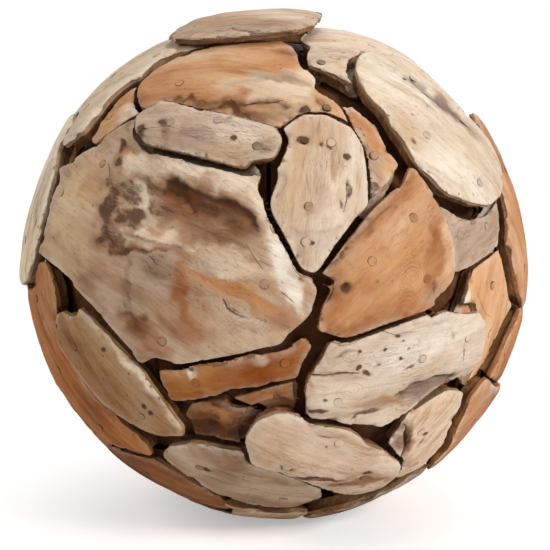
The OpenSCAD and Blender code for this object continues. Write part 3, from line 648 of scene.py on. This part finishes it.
        blots=[(-60, -6, 6, 8, 0, "tan", 0.4), (-50, -28, 6, 8, 0, "brown", 0.5)],
        stains=[(-66, 1, 2, 3, 0, 0.5), (-64, -8, 1.5, 4, 0, 0.4)]),
    "left_foot_slab": look("brown", (132, 74, 33), -40, (3, 10), wander=0,
        blots=[(-38, -52, 12, 5, -40, "orange", 0.5), (-50, -44, 8, 4, -40, "brown", 0.6)]),
    "foot_strip": look("grey", (150, 127, 109), 20, (2, 8), wander=0,
        blots=[(46, -58, 8, 5, 0, "taupe", 0.6), (34, -66, 8, 3, 0, "brown", 0.6)],
        stains=[(44, -60, 8, 2, 20, 0.5)]),
    "base_slab": look("brown", (190, 155, 120), 5, (2, 8),
        blots=[(0, -62, 16, 3, 0, "beige", 0.6)]),
    "right_grey_slab": look("grey", (178, 150, 126), 20, (2, 8),
        blots=[(50, 13, 8, 4, 0, "drift", 0.5), (42, 16, 4, 3, 0, "sand", 0.5)],
        stains=[(39, 14.5, 0.7, 1.4, 0, 0.7), (47, 15, 1, 1, 0, 0.6)],
        bites=[(46, 17, 10, 6)]),
    "right_inner_slab": look("orange", (218, 166, 122), 75, (3, 8), wander=0,
        blots=[(44.5, 0, 1.6, 7, 10, "white", 1.0), (44, -4, 3, 3, 0, "pale", 0.5),
         (52, -2, 5, 6, 0, "honey", 0.5), (56, 2, 3, 6, 0, "orange", 0.4)],
        cracks=[([(48, -1), (52, -4), (56, -7)], 0.8, 0.5)],
        bites=[(41, 1, 9, 7), (53, -18, 9, -4)]),
    # dark_chunk: the orange blot is a painted highlight on its top, and the stains in the dents are painted
    # shade in its hollows
    "dark_chunk": look("brown", (112, 64, 30), 20, (2, 6),
        blots=[(-12, -24, 5, 1.5, -12, "orange", 0.7), (-14, -28, 3, 3, 0, "rust", 0.6)],
        stains=[(-16, -29, 5, 3, 0, 0.8), (-9, -30, 3, 3, 0, 0.7)],
        dents=[(-15, -28, 7, 2.5), (-9, -30, 6, 2.5)],
        bites=[(-9, -22, 8, 4)]),
    "small_chip": look("brown", (150, 95, 52), 10, (2, 6),
        blots=[]),
    "tan_wedge": look("tan", (194, 140, 96), -60, (3, 8),
        blots=[(22, 26, 4, 3, 0, "drift", 0.8), (24, 28, 3, 3, 0, "taupe", 0.5)],
        stains=[(22, 23, 3, 1.5, 0, 0.5)]),
    "right_shoulder_strip": look("grey", (204, 182, 158), -62, (3, 8),
        blots=[(70, 46, 8, 10, 0, "pale", 0.7)],
        stains=[(59, 48, 1.2, 3, 35, 0.9), (66, 38, 1.2, 4, 35, 0.6)]),
    "rear_crown": look("beige", (200, 172, 144), 10, (4, 14)),
    "rear_upper_middle": look("cream", (216, 196, 172), -50, (4, 14)),
    "rear_right_middle": look("beige", (208, 184, 158), 30, (4, 16)),
    "rear_lower_middle": look("grey", (180, 156, 134), -12, (4, 14)),
    "rear_left_middle": look("cream", (208, 184, 158), -30, (4, 14)),
    "rear_foot_left": look("grey", (164, 136, 110), 20, (4, 12)),
    "left_rear_lower_slab": look("beige", (200, 172, 144), -10, (4, 14)),
    "rear_left_shoulder": look("grey", (180, 156, 134), 80, (3, 12)),
    "rear_foot_right": look("orange", (186, 128, 84), 0, (3, 12)),
    "rear_upper_right": look("tan", (190, 150, 113), -40, (3, 12)),
    "rear_middle": look("orange", (196, 142, 98), 72, (3, 14)),
    "rear_upper_left": look("orange", (186, 128, 84), -15, (3, 12)),
    "left_rear_slab": look("tan", (191, 158, 127), 85, (3, 14)),
    "rear_lower_right": look("brown", (158, 100, 60), 60, (3, 12)),
    "rear_lower_left": look("tan", (190, 150, 113), 75, (3, 12)),
    "rear_foot_middle": look("beige", (191, 158, 127), 8, (3, 12)),
    "left_rear_foot": look("brown", (136, 88, 54), 5, (3, 12)),
}

carving = {
    "frontVoxel": 1.4 * mm, "rearVoxel": 1.9 * mm, "quickVoxel": 2.2 * mm, "tunedVoxel": 1.3 * mm,
    "plugRadius": 4.1 * mm, "plugLength": 10 * mm, "plugSides": 20, "plugSink": 0.3 * mm,
    "plugRing": 4.8 * mm, "plugSamples": 6, "wallFacing": 0.45, "faceFacing": (0.3, 0.75),
    "easing": 3, "rounding": 3, "wallRounding": 10, "settle": 1, "roll": 0.5, "bend": (7 * mm, 2 * mm),
    "swell": 1.3 * mm, "ridge": 0.32 * mm, "chip": 2.0 * mm, "chipWidth": 5 * mm,
    "wallWear": 1.5 * mm, "wander": 4 * mm, "hiddenFacing": -0.35, "hiddenKept": 0.1,
}
# what the paint layers follow: depths and widths at which each begins and is full
layering = {
    "wash": 0.45, "spotStray": 8 * mm, "spotEdge": (1.3, 0.35), "wall": (0.15, 0.55), "rim": 4 * mm,
    "pit": (0.12 * mm, 0.5 * mm), "pitRounding": 6, "foot": (7 * mm, 11 * mm),
    "footShadeReach": (14 * mm, 6 * mm), "footShadeTone": palette["umber"] * 0.6,
}
# waves in a metre of wood: along the fibres, across them and into it
waves = {
    "bend": (9, 16, 10), "swell": (14, 26, 20), "ridge": (22, 230, 90), "ragged": (45, 70, 25),
    "wander": (17, 17, 3), "wash": (14, 26, 10), "uneven": (30, 60, 30),
}
rearSlabs = [name for name in slabs if name.startswith(("rear_", "left_rear"))]


def tangents(out):
    east = np.cross([0, 0, 1], out)
    east /= np.linalg.norm(east)
    return east, np.cross(out, east)


def plugHoles(bm):
    # fills the peg holes that open in this slab's face, so that the remesh doesn't widen them
    tree = BVHTree.FromBMesh(bm)
    start = ball["radius"] * 1.3
    samples = carving["plugSamples"]

    def faceRadius(way):
        hit = tree.ray_cast(Vector(centre + way * start), Vector(-way), start * 0.5)
        return None if hit[0] is None else float(np.linalg.norm(np.array(hit[0]) - centre))

    for axis, top in pegPlaces:
        east, north = tangents(axis)
        ring = []
        for k in range(samples):
            turn = k * 2 * math.pi / samples
            way = axis + (east * math.cos(turn) + north * math.sin(turn)) * (carving["plugRing"] / top)
            ring.append(faceRadius(way / np.linalg.norm(way)))
        if any(r is None for r in ring):
            continue
        level = sum(ring) / samples
        turn = Matrix(np.stack([east, north, axis], axis=1)).to_4x4()
        middle = Vector(centre + axis * (level - carving["plugSink"] - carving["plugLength"] / 2))
        bmesh.ops.create_cone(bm, cap_ends=True, segments=carving["plugSides"],
                              radius1=carving["plugRadius"], radius2=carving["plugRadius"],
                              depth=carving["plugLength"], matrix=Matrix.Translation(middle) @ turn)


def spotMask(points, stray, spot):
    # a soft oval on the ball, drawn out of shape by the noise in stray
    lon, lat, wide, high, turn = spot[:5]
    size = math.radians((wide + high) / 2) * ball["radius"]
    points = points + stray * min(layering["spotStray"], 0.75 * size)
    out = direction(lon, lat)
    east, north = tangents(out)
    way = points / np.linalg.norm(points, axis=1)[:, None]
    x, y = np.degrees(way @ east), np.degrees(way @ north)
    c, s = math.cos(math.radians(turn)), math.sin(math.radians(turn))
    d = np.hypot((x * c + y * s) / wide, (y * c - x * s) / high)
    return smooth(*layering["spotEdge"], d) * (way @ out > 0)


def nearCrack(points, line):
    # signed distance in mm from a crack's line, the same unsigned, and how far along it, 0 to 1
    best = np.full(len(points), 99.0)
    side = np.ones(len(points))
    way = points / np.linalg.norm(points, axis=1)[:, None] * ball["radius"]
    ends = [direction(*p) * ball["radius"] for p in line]
    along = np.zeros(len(points))
    for k, (a, b) in enumerate(zip(ends, ends[1:])):
        run = b - a
        t = np.clip((way - a) @ run / (run @ run), 0, 1)
        off = way - a - t[:, None] * run
        distance = np.linalg.norm(off, axis=1) / mm
        nearer = distance < best
        across = np.cross(a + b, run)
        side = np.where(nearer, np.sign(off @ across + 1e-12), side)
        along = np.where(nearer, (k + t) / (len(ends) - 1), along)
        best = np.minimum(best, distance)
    return best * side, best, along


def strewn(out, seed):
    # slabs that have no marks of their own get some at random
    draw = np.random.default_rng(seed)
    lon, lat = math.degrees(math.atan2(out[0], -out[1])), math.degrees(math.asin(out[2]))
    wide = 1 / max(0.3, math.cos(math.radians(lat)))
    tones = ["cream", "beige", "drift", "taupe", "tan", "honey", "orange", "brown"]

    def somewhere():
        return lon + draw.uniform(-14, 14) * wide, lat + draw.uniform(-10, 10)

    blots = [(*somewhere(), draw.uniform(5, 14), draw.uniform(3, 7), draw.uniform(0, 180),
              tones[draw.integers(len(tones))], draw.uniform(0.3, 0.7)) for _ in range(6)]
    stains = [(*somewhere(), draw.uniform(0.8, 3), draw.uniform(0.6, 1.6), draw.uniform(0, 180),
               draw.uniform(0.5, 0.9)) for _ in range(5)]
    start = np.array(somewhere())
    step = np.array([draw.uniform(1.5, 3) * wide, draw.uniform(-1.5, 1.5)])
    bend = [start + step * k + draw.uniform(-0.5, 0.5, 2) for k in range(4)]
    return {"blots": blots, "stains": stains, "cracks": [(bend, 1.2, 1.0)]}


def evenSlab(name, voxel):
    # the solid with its peg holes filled, remeshed in even faces
    bm = mergedCopy(name)
    plugHoles(bm)
    mesh = bpy.data.meshes.new(name)
    bm.to_mesh(mesh)
    bm.free()
    slab = sceneObject(name + "_carved", mesh)
    remesh = slab.modifiers.new("even", "REMESH")
    remesh.mode = "VOXEL"
    remesh.voxel_size = voxel
    return baked(slab)


def thinUnderside(slab):
    # the side towards the middle of the ball stays out of sight and needs few faces
    mesh = slab.data
    away = verticesOf(mesh) - centre
    facing = np.sum(normalsOf(mesh) * away, axis=1) / np.linalg.norm(away, axis=1)
    hidden = np.nonzero(facing < carving["hiddenFacing"])[0]
    slab.vertex_groups.new(name="hidden").add(hidden.tolist(), 1.0, "REPLACE")
    thin = slab.modifiers.new("thin", "DECIMATE")
    thin.vertex_group = "hidden"
    thin.ratio = 1 - len(hidden) / len(mesh.vertices) * (1 - carving["hiddenKept"])
    baked(slab)
    slab.vertex_groups.clear()


def setPlaces(mesh, places):
    mesh.vertices.foreach_set("co", places.ravel())
    mesh.update()


def gapToWall(places, facing):
    # how far each face vertex is from the nearest wall
    walls = np.nonzero(np.abs(facing) < carving["wallFacing"])[0]
    tree = KDTree(len(walls))
    for k in walls:
        tree.insert(places[k], int(k))
    tree.balance()
    gap = np.full(len(places), 0.0)
    for k in np.nonzero(facing >= carving["wallFacing"])[0]:
        gap[k] = tree.find(places[k])[2]
    return gap


class Survey:
    # every vertex's place on the slab, along its fibres and from its walls

    def __init__(self, mesh, places, values, seed):
        self.seed = seed
        self.points = places - centre
        self.radius = np.linalg.norm(self.points, axis=1)
        self.way = self.points / self.radius[:, None]
        self.normal = normalsOf(mesh)
        self.facing = np.sum(self.normal * self.way, axis=1)
        self.face = smooth(*carving["faceFacing"], self.facing)
        self.rimGap = gapToWall(places, self.facing)
        out = self.way[self.facing > 0.5].mean(axis=0)
        self.out = out / np.linalg.norm(out)
        east, north = tangents(self.out)
        turn = math.radians(values["grain"])
        fibre = east * math.cos(turn) + north * math.sin(turn)
        across = np.cross(self.out, fibre)
        self.u, self.v = self.points @ fibre, self.points @ across
        self.bendFibres(values.get("knots", []), fibre, across)
        self.grain = np.stack([self.u + seed * 0.37, self.bent, self.radius], axis=1)
        self.stray = np.stack([layered(self.points * 60, seed + 90 + k, 4) for k in range(3)], axis=1)

    def waved(self, name, bent=False):
        along, across, inwards = waves[name]
        v = self.bent if bent else self.v
        return np.stack([self.u * along, v * across, self.radius * inwards], axis=1)

    def bendFibres(self, knots, fibre, across):
        # the fibres wander, and bend round the knots
        slow = self.waved("bend")
        wide, fine = carving["bend"]
        bend = noise(slow, self.seed) * wide + noise(slow * 3.1, self.seed + 5) * fine
        self.bent = self.v + bend
        self.rings = np.zeros(len(self.v))
        for lon, lat, size in knots:
            knot = direction(lon, lat) * ball["radius"]
            du, dv = self.u - knot @ fibre, self.v - knot @ across
            near = np.exp(-(du ** 2 + dv ** 2) / (2 * (1.8 * size * mm) ** 2))
            wobble = noise(self.points * 70, self.seed + 7) * 5
            self.rings += near * np.sin(np.hypot(du * 0.8, dv) / (0.32 * mm) + wobble)
            self.bent = self.bent + 0.6 * near * np.sign(dv) * (np.hypot(du, dv) - np.abs(dv))

    def reach(self, lon, lat, size):
        # distance from a place on the slab, in sizes given in mm
        off = self.points - direction(lon, lat) * self.radius[:, None]
        return np.linalg.norm(off, axis=1) / (size * mm)


def faceDrop(wood, values):
    # how far the face sinks: it falls towards its rim, swells along the grain and wears in ridges
    seed, face = wood.seed, wood.face
    fall, width = values["roll"]
    ripple = 0.75 + 0.6 * noise(wood.points * 28, seed + 9)
    drop = fall * carving["roll"] * mm * face * (1 - smooth(0, width * mm, wood.rimGap)) ** 2 * ripple
    drop += face * carving["swell"] * (0.5 + layered(wood.waved("swell"), seed + 20))
    ridge = noise(wood.waved("ridge", bent=True), seed + 30)
    drop += face * carving["ridge"] * (0.7 + ridge * 1.4 + wood.rings * 0.5)
    for lon, lat, size, deep in values.get("dents", []):
        d = wood.reach(lon, lat, size)
        drop += deep * mm * face * np.exp(-d ** 2 * 1.2) * (1 + 0.8 * noise(wood.points * 90, seed + 33))
    return drop


def cutLedges(wood, ledges, drop):
    # one side of each line sinks, and takes a tone, mostly painted shade falling into the sunken side
    shades = []
    for line, width, deep, tone, strength in ledges:
        signed, gap, along = nearCrack(wood.points + wood.stray * 1.5 * mm, line)
        ends = smooth(0, 0.15, along) * smooth(1, 0.85, along)
        share = ends * smooth(width, width * 0.15, gap) * smooth(0.3, -0.8, signed)
        drop += deep * mm * wood.face * share
        shades.append((share * strength, tone))
    return shades


def cutCracks(wood, cracks, drop):
    # grooves in the face; keeps each vertex's place across its nearest crack for the paint
    size = len(drop)
    side, mask, closest = np.full(size, 9.0), np.zeros(size), np.full(size, 99.0)
    wobble = (noise(wood.points * 60, wood.seed + 40) * 1.6 * mm)[:, None]
    for line, wide, deep in cracks:
        signed, gap, along = nearCrack(wood.points + wobble, line)
        taper = np.clip(np.minimum(along, 1 - along) * 5, 0.15, 1)
        drop += deep * mm * wood.face * taper * np.clip(1 - gap / (wide * 0.8), 0, 1)
        nearer = gap < closest
        closest = np.where(nearer, gap, closest)
        side = np.where(nearer, signed / (wide * 0.45), side)
        mask = np.where(nearer, (along > 0.001) * (along < 0.999) * smooth(6, 3, gap), mask)
    return np.stack([side, mask, 0 * mask], axis=1)


def wallWear(wood, values):
    # how far the walls are worn back, undersides excepted
    ragged = layered(wood.waved("ragged"), wood.seed + 60)
    wander = noise(wood.waved("wander"), wood.seed + 65)
    stroll = values.get("wander", carving["wander"]) * np.clip(0.25 + wander, 0, 1)
    wall = 1 - smooth(0.25, 0.6, wood.facing)
    worn = wall * (carving["wallWear"] * (0.6 + ragged) + stroll)
    return np.clip(worn, 0, None) * (1 - smooth(-0.3, -0.8, wood.facing))


def bitten(wood, bites):
    # the rim drawn in, or out where a bite's depth is below nothing
    inward = wood.out - wood.way * (wood.way @ wood.out)[:, None]
    inward /= np.linalg.norm(inward, axis=1)[:, None] + 1e-6
    pull = np.zeros_like(wood.points)
    for lon, lat, size, deep in bites:
        pull += inward * (deep * mm * np.exp(-wood.reach(lon, lat, size) ** 2))[:, None]
    return pull


def paintLayers(mesh, wood, values, shades, hollowness):
    # the painted layers that the wood materials read
    seed, size = wood.seed, len(wood.radius)
    tint = np.tile(linear(*values["colour"]), (size, 1))
    wash = layered(wood.waved("wash"), seed + 70, 4)
    tint = tint ** (1 - layering["wash"] * (wash + 0.45 * wood.rings)[:, None])
    uneven = 1 + 0.5 * layered(wood.waved("uneven", bent=True), seed + 80)
    sunken = np.percentile(wood.radius, 95) - wood.radius
    # a wall's foot, deep in the gap, is painted dark umber as shade
    foot = smooth(*layering["foot"], sunken) * smooth(*layering["footShadeReach"], wood.rimGap)
    layers = [(spotMask(wood.points, wood.stray, spot) * spot[6] * uneven, palette[spot[5]])
              for spot in values["blots"]]
    # the ledges' tones, mostly painted shade
    layers += [(share * uneven, palette[tone]) for share, tone in shades]
    layers.append((foot, layering["footShadeTone"]))
    for share, tone in layers:
        mask = np.clip(share, 0, 1)[:, None]
        tint = tint * (1 - mask) + tone * mask
    # stains, and in some holes dark spots that are painted shade
    stain = np.zeros(size)
    for spot in values.get("stains", []):
        stain = np.maximum(stain, spotMask(wood.points, wood.stray, spot) * spot[5])
    # pit: how hollow the face is there, which the material paints dark as shade
    pit = smooth(*layering["pit"], np.sum(hollowness * wood.normal, axis=1)) * wood.face
    store(mesh, "grain", "FLOAT_VECTOR", wood.grain)
    store(mesh, "tint", "FLOAT_COLOR", np.column_stack([np.clip(tint, 0, 1), np.ones(size)]))
    store(mesh, "stain", "FLOAT", stain)
    # wall: how far each face turns away from outward, which the material paints as shade
    store(mesh, "wall", "FLOAT", 1 - smooth(*layering["wall"], wood.facing))
    store(mesh, "rim", "FLOAT", np.exp(-(wood.rimGap / layering["rim"]) ** 2) * wood.face)
    store(mesh, "pit", "FLOAT", pit)


def carve(name, values, seed):
    voxel = carving["rearVoxel" if name in rearSlabs else "frontVoxel"]
    slab = evenSlab(name, voxel)
    mesh = slab.data
    edges = np.empty(len(mesh.edges) * 2, int)
    mesh.edges.foreach_get("vertices", edges)
    edges = edges.reshape(-1, 2)
    places = relax(verticesOf(mesh), edges, carving["easing"])
    setPlaces(mesh, places)
    wood = Survey(mesh, places, values, seed)
    if "blots" not in values:
        values = values | strewn(wood.out, seed)

    drop = faceDrop(wood, values)
    shades = cutLedges(wood, values.get("ledges", []), drop)
    crack = cutCracks(wood, values.get("cracks", []), drop)
    # chips along the rims
    rim = np.exp(-(wood.rimGap / carving["chipWidth"]) ** 2) * (wood.facing > 0.1)
    drop += carving["chip"] * rim * smooth(0.12, 0.5, layered(wood.points * 75, seed + 50, 2))
    push = bitten(wood, values.get("bites", [])) - wood.way * drop[:, None]
    push = push - wood.normal * wallWear(wood, values)[:, None]

    # the smoothing was tuned on one voxel size and follows the others
    scale = (carving["tunedVoxel"] / voxel) ** 2
    places = relax(places, edges, int(round(carving["rounding"] * scale))) + push
    places = relax(places, edges, carving["settle"], 0.35)
    # the walls are smoothed further than the faces
    softer = relax(places, edges, int(round(carving["wallRounding"] * scale)))
    places += (softer - places) * smooth(0.5, 0.2, np.abs(wood.facing))[:, None]
    places[:, 2] = np.maximum(places[:, 2], 0)
    setPlaces(mesh, places)

    hollowness = relax(places, edges, layering["pitRounding"]) - places
    paintLayers(mesh, wood, values, shades, hollowness)
    store(mesh, "crack", "FLOAT_VECTOR", crack)
    mesh.polygons.foreach_set("use_smooth", np.ones(len(mesh.polygons), bool))
    mesh.materials.clear()
    mesh.materials.append(woods[values["slot"]])
    thinUnderside(slab)
    return slab


carved = {}
for number, (name, values) in enumerate(slabs.items()):
    carved[name] = carve(name, values, 11 + number * 7)
triangles = sum(len(p.vertices) - 2 for ob in carved.values() for p in ob.data.polygons)
print("slabs carved:", len(carved), "triangles:", triangles)


pegs = {"radius": 3.4 * mm, "length": 21 * mm, "proud": 0.25 * mm, "sides": 16, "dome": 0.35 * mm,
        "tone": (0.72, 1.0), "size": (0.94, 1.03), "above": 6 * mm, "search": 14 * mm, "seed": 5}


def pegSeats():
    # where each peg meets the carved face that it comes out of, and the wood's tone there
    slabList = list(carved.values())
    trees = [BVHTree.FromPolygons([v.co for v in ob.data.vertices], [p.vertices for p in ob.data.polygons])
             for ob in slabList]
    draw = np.random.default_rng(pegs["seed"])
    tops, tones = [], []
    for axis, top in pegPlaces:
        begin = Vector(centre + axis * (top + pegs["above"]))
        hits = [(hit[3], hit[2], k) for k, tree in enumerate(trees)
                for hit in [tree.ray_cast(begin, Vector(-axis), pegs["search"])] if hit[0] is not None]
        far, face, k = min(hits) if hits else (pegs["above"], 0, 0)
        mesh = slabList[k].data
        vertex = mesh.polygons[face].vertices[0]
        tone = np.array(mesh.attributes["tint"].data[vertex].color)
        stained = mesh.attributes["stain"].data[vertex].value
        tops.append(top + pegs["above"] - far)
        tones.append(np.append(tone[:3] * draw.uniform(*pegs["tone"]) * (1 - 0.85 * min(1, stained)), 1))
    return tops, tones


def pegTree():
    # a peg on every point, turned to the point's axis
    group, ins, outs = newGroup(
        "pegsOnPoints",
        [("Geometry", "Geometry", None), ("Radius", "Float", None), ("Length", "Float", None),
         ("Dome", "Float", None), ("Sides", "Int", None), ("Seed", "Int", None),
         ("Wood", "Material", None)],
        [("Geometry", "Geometry")], "GeometryNodeTree")
    w = Wiring(group)
    given = ins.outputs
    shank = w.add("GeometryNodeMeshCylinder", {
        "Vertices": given["Sides"], "Radius": given["Radius"], "Depth": given["Length"]})
    lower = w.add("ShaderNodeCombineXYZ", {"Z": w.times(given["Length"], -0.5)})
    sunk = w.add("GeometryNodeTransform", {
        "Geometry": shank.outputs["Mesh"], "Translation": lower.outputs[0]})
    # the end grain is a small dome: inset the top cap twice and lift it
    last, top = sunk.outputs["Geometry"], shank.outputs["Top"]
    for share, grow in ((0.55, 0.86), (0.45, 0.5)):
        inset = w.add("GeometryNodeExtrudeMesh", mode="FACES", feeds={
            "Individual": False, "Mesh": last, "Selection": top,
            "Offset Scale": w.times(given["Dome"], share)})
        shrink = w.add("GeometryNodeScaleElements", {
            "Geometry": inset.outputs["Mesh"], "Selection": inset.outputs["Top"], "Scale": grow})
        last, top = shrink.outputs["Geometry"], inset.outputs["Top"]
    own = w.add("GeometryNodeStoreNamedAttribute", data_type="FLOAT_VECTOR", feeds={
        "Name": "pegPlace", "Geometry": last, "Value": w.add("GeometryNodeInputPosition").outputs[0]})
    aim = w.add("GeometryNodeInputNamedAttribute", {"Name": "axis"}, data_type="FLOAT_VECTOR")
    align = w.add("FunctionNodeAlignRotationToVector", {"Vector": aim.outputs["Attribute"]}, axis="Z")
    least, most = pegs["size"]
    vary = w.add("FunctionNodeRandomValue", {2: least, 3: most, "Seed": given["Seed"]}, data_type="FLOAT")
    stamp = w.add("GeometryNodeInstanceOnPoints", {
        "Points": given["Geometry"], "Instance": own.outputs["Geometry"],
        "Rotation": align.outputs[0], "Scale": vary.outputs[1]})
    real = w.add("GeometryNodeRealizeInstances", {0: stamp.outputs[0]})
    paint = w.add("GeometryNodeSetMaterial", {"Geometry": real.outputs[0], "Material": given["Wood"]})
    w.feed(outs.inputs[0], paint.outputs[0])
    return group


def makePegs():
    tops, tones = pegSeats()
    points = bpy.data.meshes.new("pegPoints")
    seats = [centre + axis * (top + pegs["proud"]) for (axis, _), top in zip(pegPlaces, tops)]
    points.from_pydata(seats, [], [])
    store(points, "axis", "FLOAT_VECTOR", np.array([axis for axis, _ in pegPlaces]))
    store(points, "tint", "FLOAT_COLOR", np.array(tones))
    ob = sceneObject("peg_ends", points)
    modifier = ob.modifiers.new("pegs", "NODES")
    modifier.node_group = pegTree()
    ids = {s.name: s.identifier for s in modifier.node_group.interface.items_tree if s.in_out == "INPUT"}
    for label in ("Radius", "Length", "Dome", "Sides", "Seed"):
        modifier[ids[label]] = pegs[label.lower()]
    modifier[ids["Wood"]] = pegWood
    return baked(ob)


pegEnds = makePegs()
print("pegs made, faces:", len(pegEnds.data.polygons))


for name, ob in nodes.items():
    if name.startswith("backing_block"):
        ob.data.materials.clear()
        ob.data.materials.append(darkWood)


for name, values in slabs.items():
    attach(carved[name], "root")
    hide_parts(name)
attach(pegEnds, "root")
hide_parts("pegs")


stage = {"floor": 30.0, "floorColour": (0.96, 0.955, 0.95, 1), "bounceColour": (0.88, 0.85, 0.82, 1),
         "lift": 0.40, "fadeFrom": 0.12, "fadeTo": 0.27, "skyLight": 0.20}
lamps = {
    "key": {"at": (1.30, -1.30, 1.05), "size": 0.6, "power": 28},
    "fill": {"at": (-1.8, -0.9, 1.8), "size": 1.4, "power": 22},
    "top": {"at": (0.2, 0.1, 1.7), "size": 0.9, "power": 8},
    "back": {"at": (0.5, 1.9, 1.3), "size": 1.4, "power": 11},
}
shot = {"elevation": 7.3, "distance": 1.0457, "lower": 0.353, "lens": 85, "sensor": 36}


def floorMaterial():
    # the camera sees a pale floor that fades to white away from the ball
    material = bpy.data.materials.new("paleFloor")
    w = emptied(material)
    pale = w.add("ShaderNodeBsdfDiffuse", {"Color": stage["floorColour"]})
    bounce = w.add("ShaderNodeBsdfDiffuse", {"Color": stage["bounceColour"]})
    lift = w.add("ShaderNodeEmission", {"Strength": stage["lift"]})
    white = w.add("ShaderNodeEmission", {"Strength": 1.0})
    lit = w.add("ShaderNodeAddShader", {0: pale.outputs[0], 1: lift.outputs[0]})
    away = w.length(w.add("ShaderNodeTexCoord").outputs["Object"])
    fade = w.add("ShaderNodeMixShader", {
        0: w.ramp(away, stage["fadeFrom"], stage["fadeTo"]), 1: lit.outputs[0], 2: white.outputs[0]})
    seen = w.add("ShaderNodeMixShader", {
        0: w.add("ShaderNodeLightPath").outputs["Is Camera Ray"], 1: bounce.outputs[0], 2: fade.outputs[0]})
    w.add("ShaderNodeOutputMaterial", {0: seen.outputs[0]})
    return material


def makeFloor():
    bm = bmesh.new()
    bmesh.ops.create_grid(bm, x_segments=1, y_segments=1, size=stage["floor"] / 2)
    mesh = bpy.data.meshes.new("floor")
    bm.to_mesh(mesh)
    bm.free()
    mesh.materials.append(floorMaterial())
    return sceneObject("floor", mesh)


floor = makeFloor()

for name, lamp in lamps.items():
    light = bpy.data.lights.new(name, "AREA")
    light.energy, light.size = lamp["power"], lamp["size"]
    ob = sceneObject(name, light)
    ob.location = lamp["at"]
    ob.rotation_euler = (Vector(centre) - Vector(lamp["at"])).to_track_quat("-Z", "Y").to_euler()

world = bpy.data.worlds.new("studio")
bpy.context.scene.world = world
w = emptied(world)
rays = w.add("ShaderNodeLightPath").outputs
seen = w.maths("MAXIMUM", rays["Is Camera Ray"],
               w.maths("MAXIMUM", rays["Is Glossy Ray"], rays["Is Transmission Ray"]))
white = (1, 1, 1, 1)
sky = w.add("ShaderNodeBackground", {"Strength": stage["skyLight"], "Color": white})
backdrop = w.add("ShaderNodeBackground", {"Strength": 1.0, "Color": white})
blend = w.add("ShaderNodeMixShader", {0: seen, 1: sky.outputs[0], 2: backdrop.outputs[0]})
w.add("ShaderNodeOutputWorld", {0: blend.outputs[0]})

lens = bpy.data.cameras.new("camera")
lens.lens, lens.sensor_width = shot["lens"], shot["sensor"]
camera = sceneObject("camera", lens)
tilt = math.radians(shot["elevation"])
camera.location = centre + shot["distance"] * np.array([0, -math.cos(tilt), math.sin(tilt)])
camera.rotation_euler = (math.radians(90 - shot["elevation"] - shot["lower"]), 0, 0)
bpy.context.scene.camera = camera
bpy.context.scene.view_settings.view_transform = "Standard"
print("stage set")
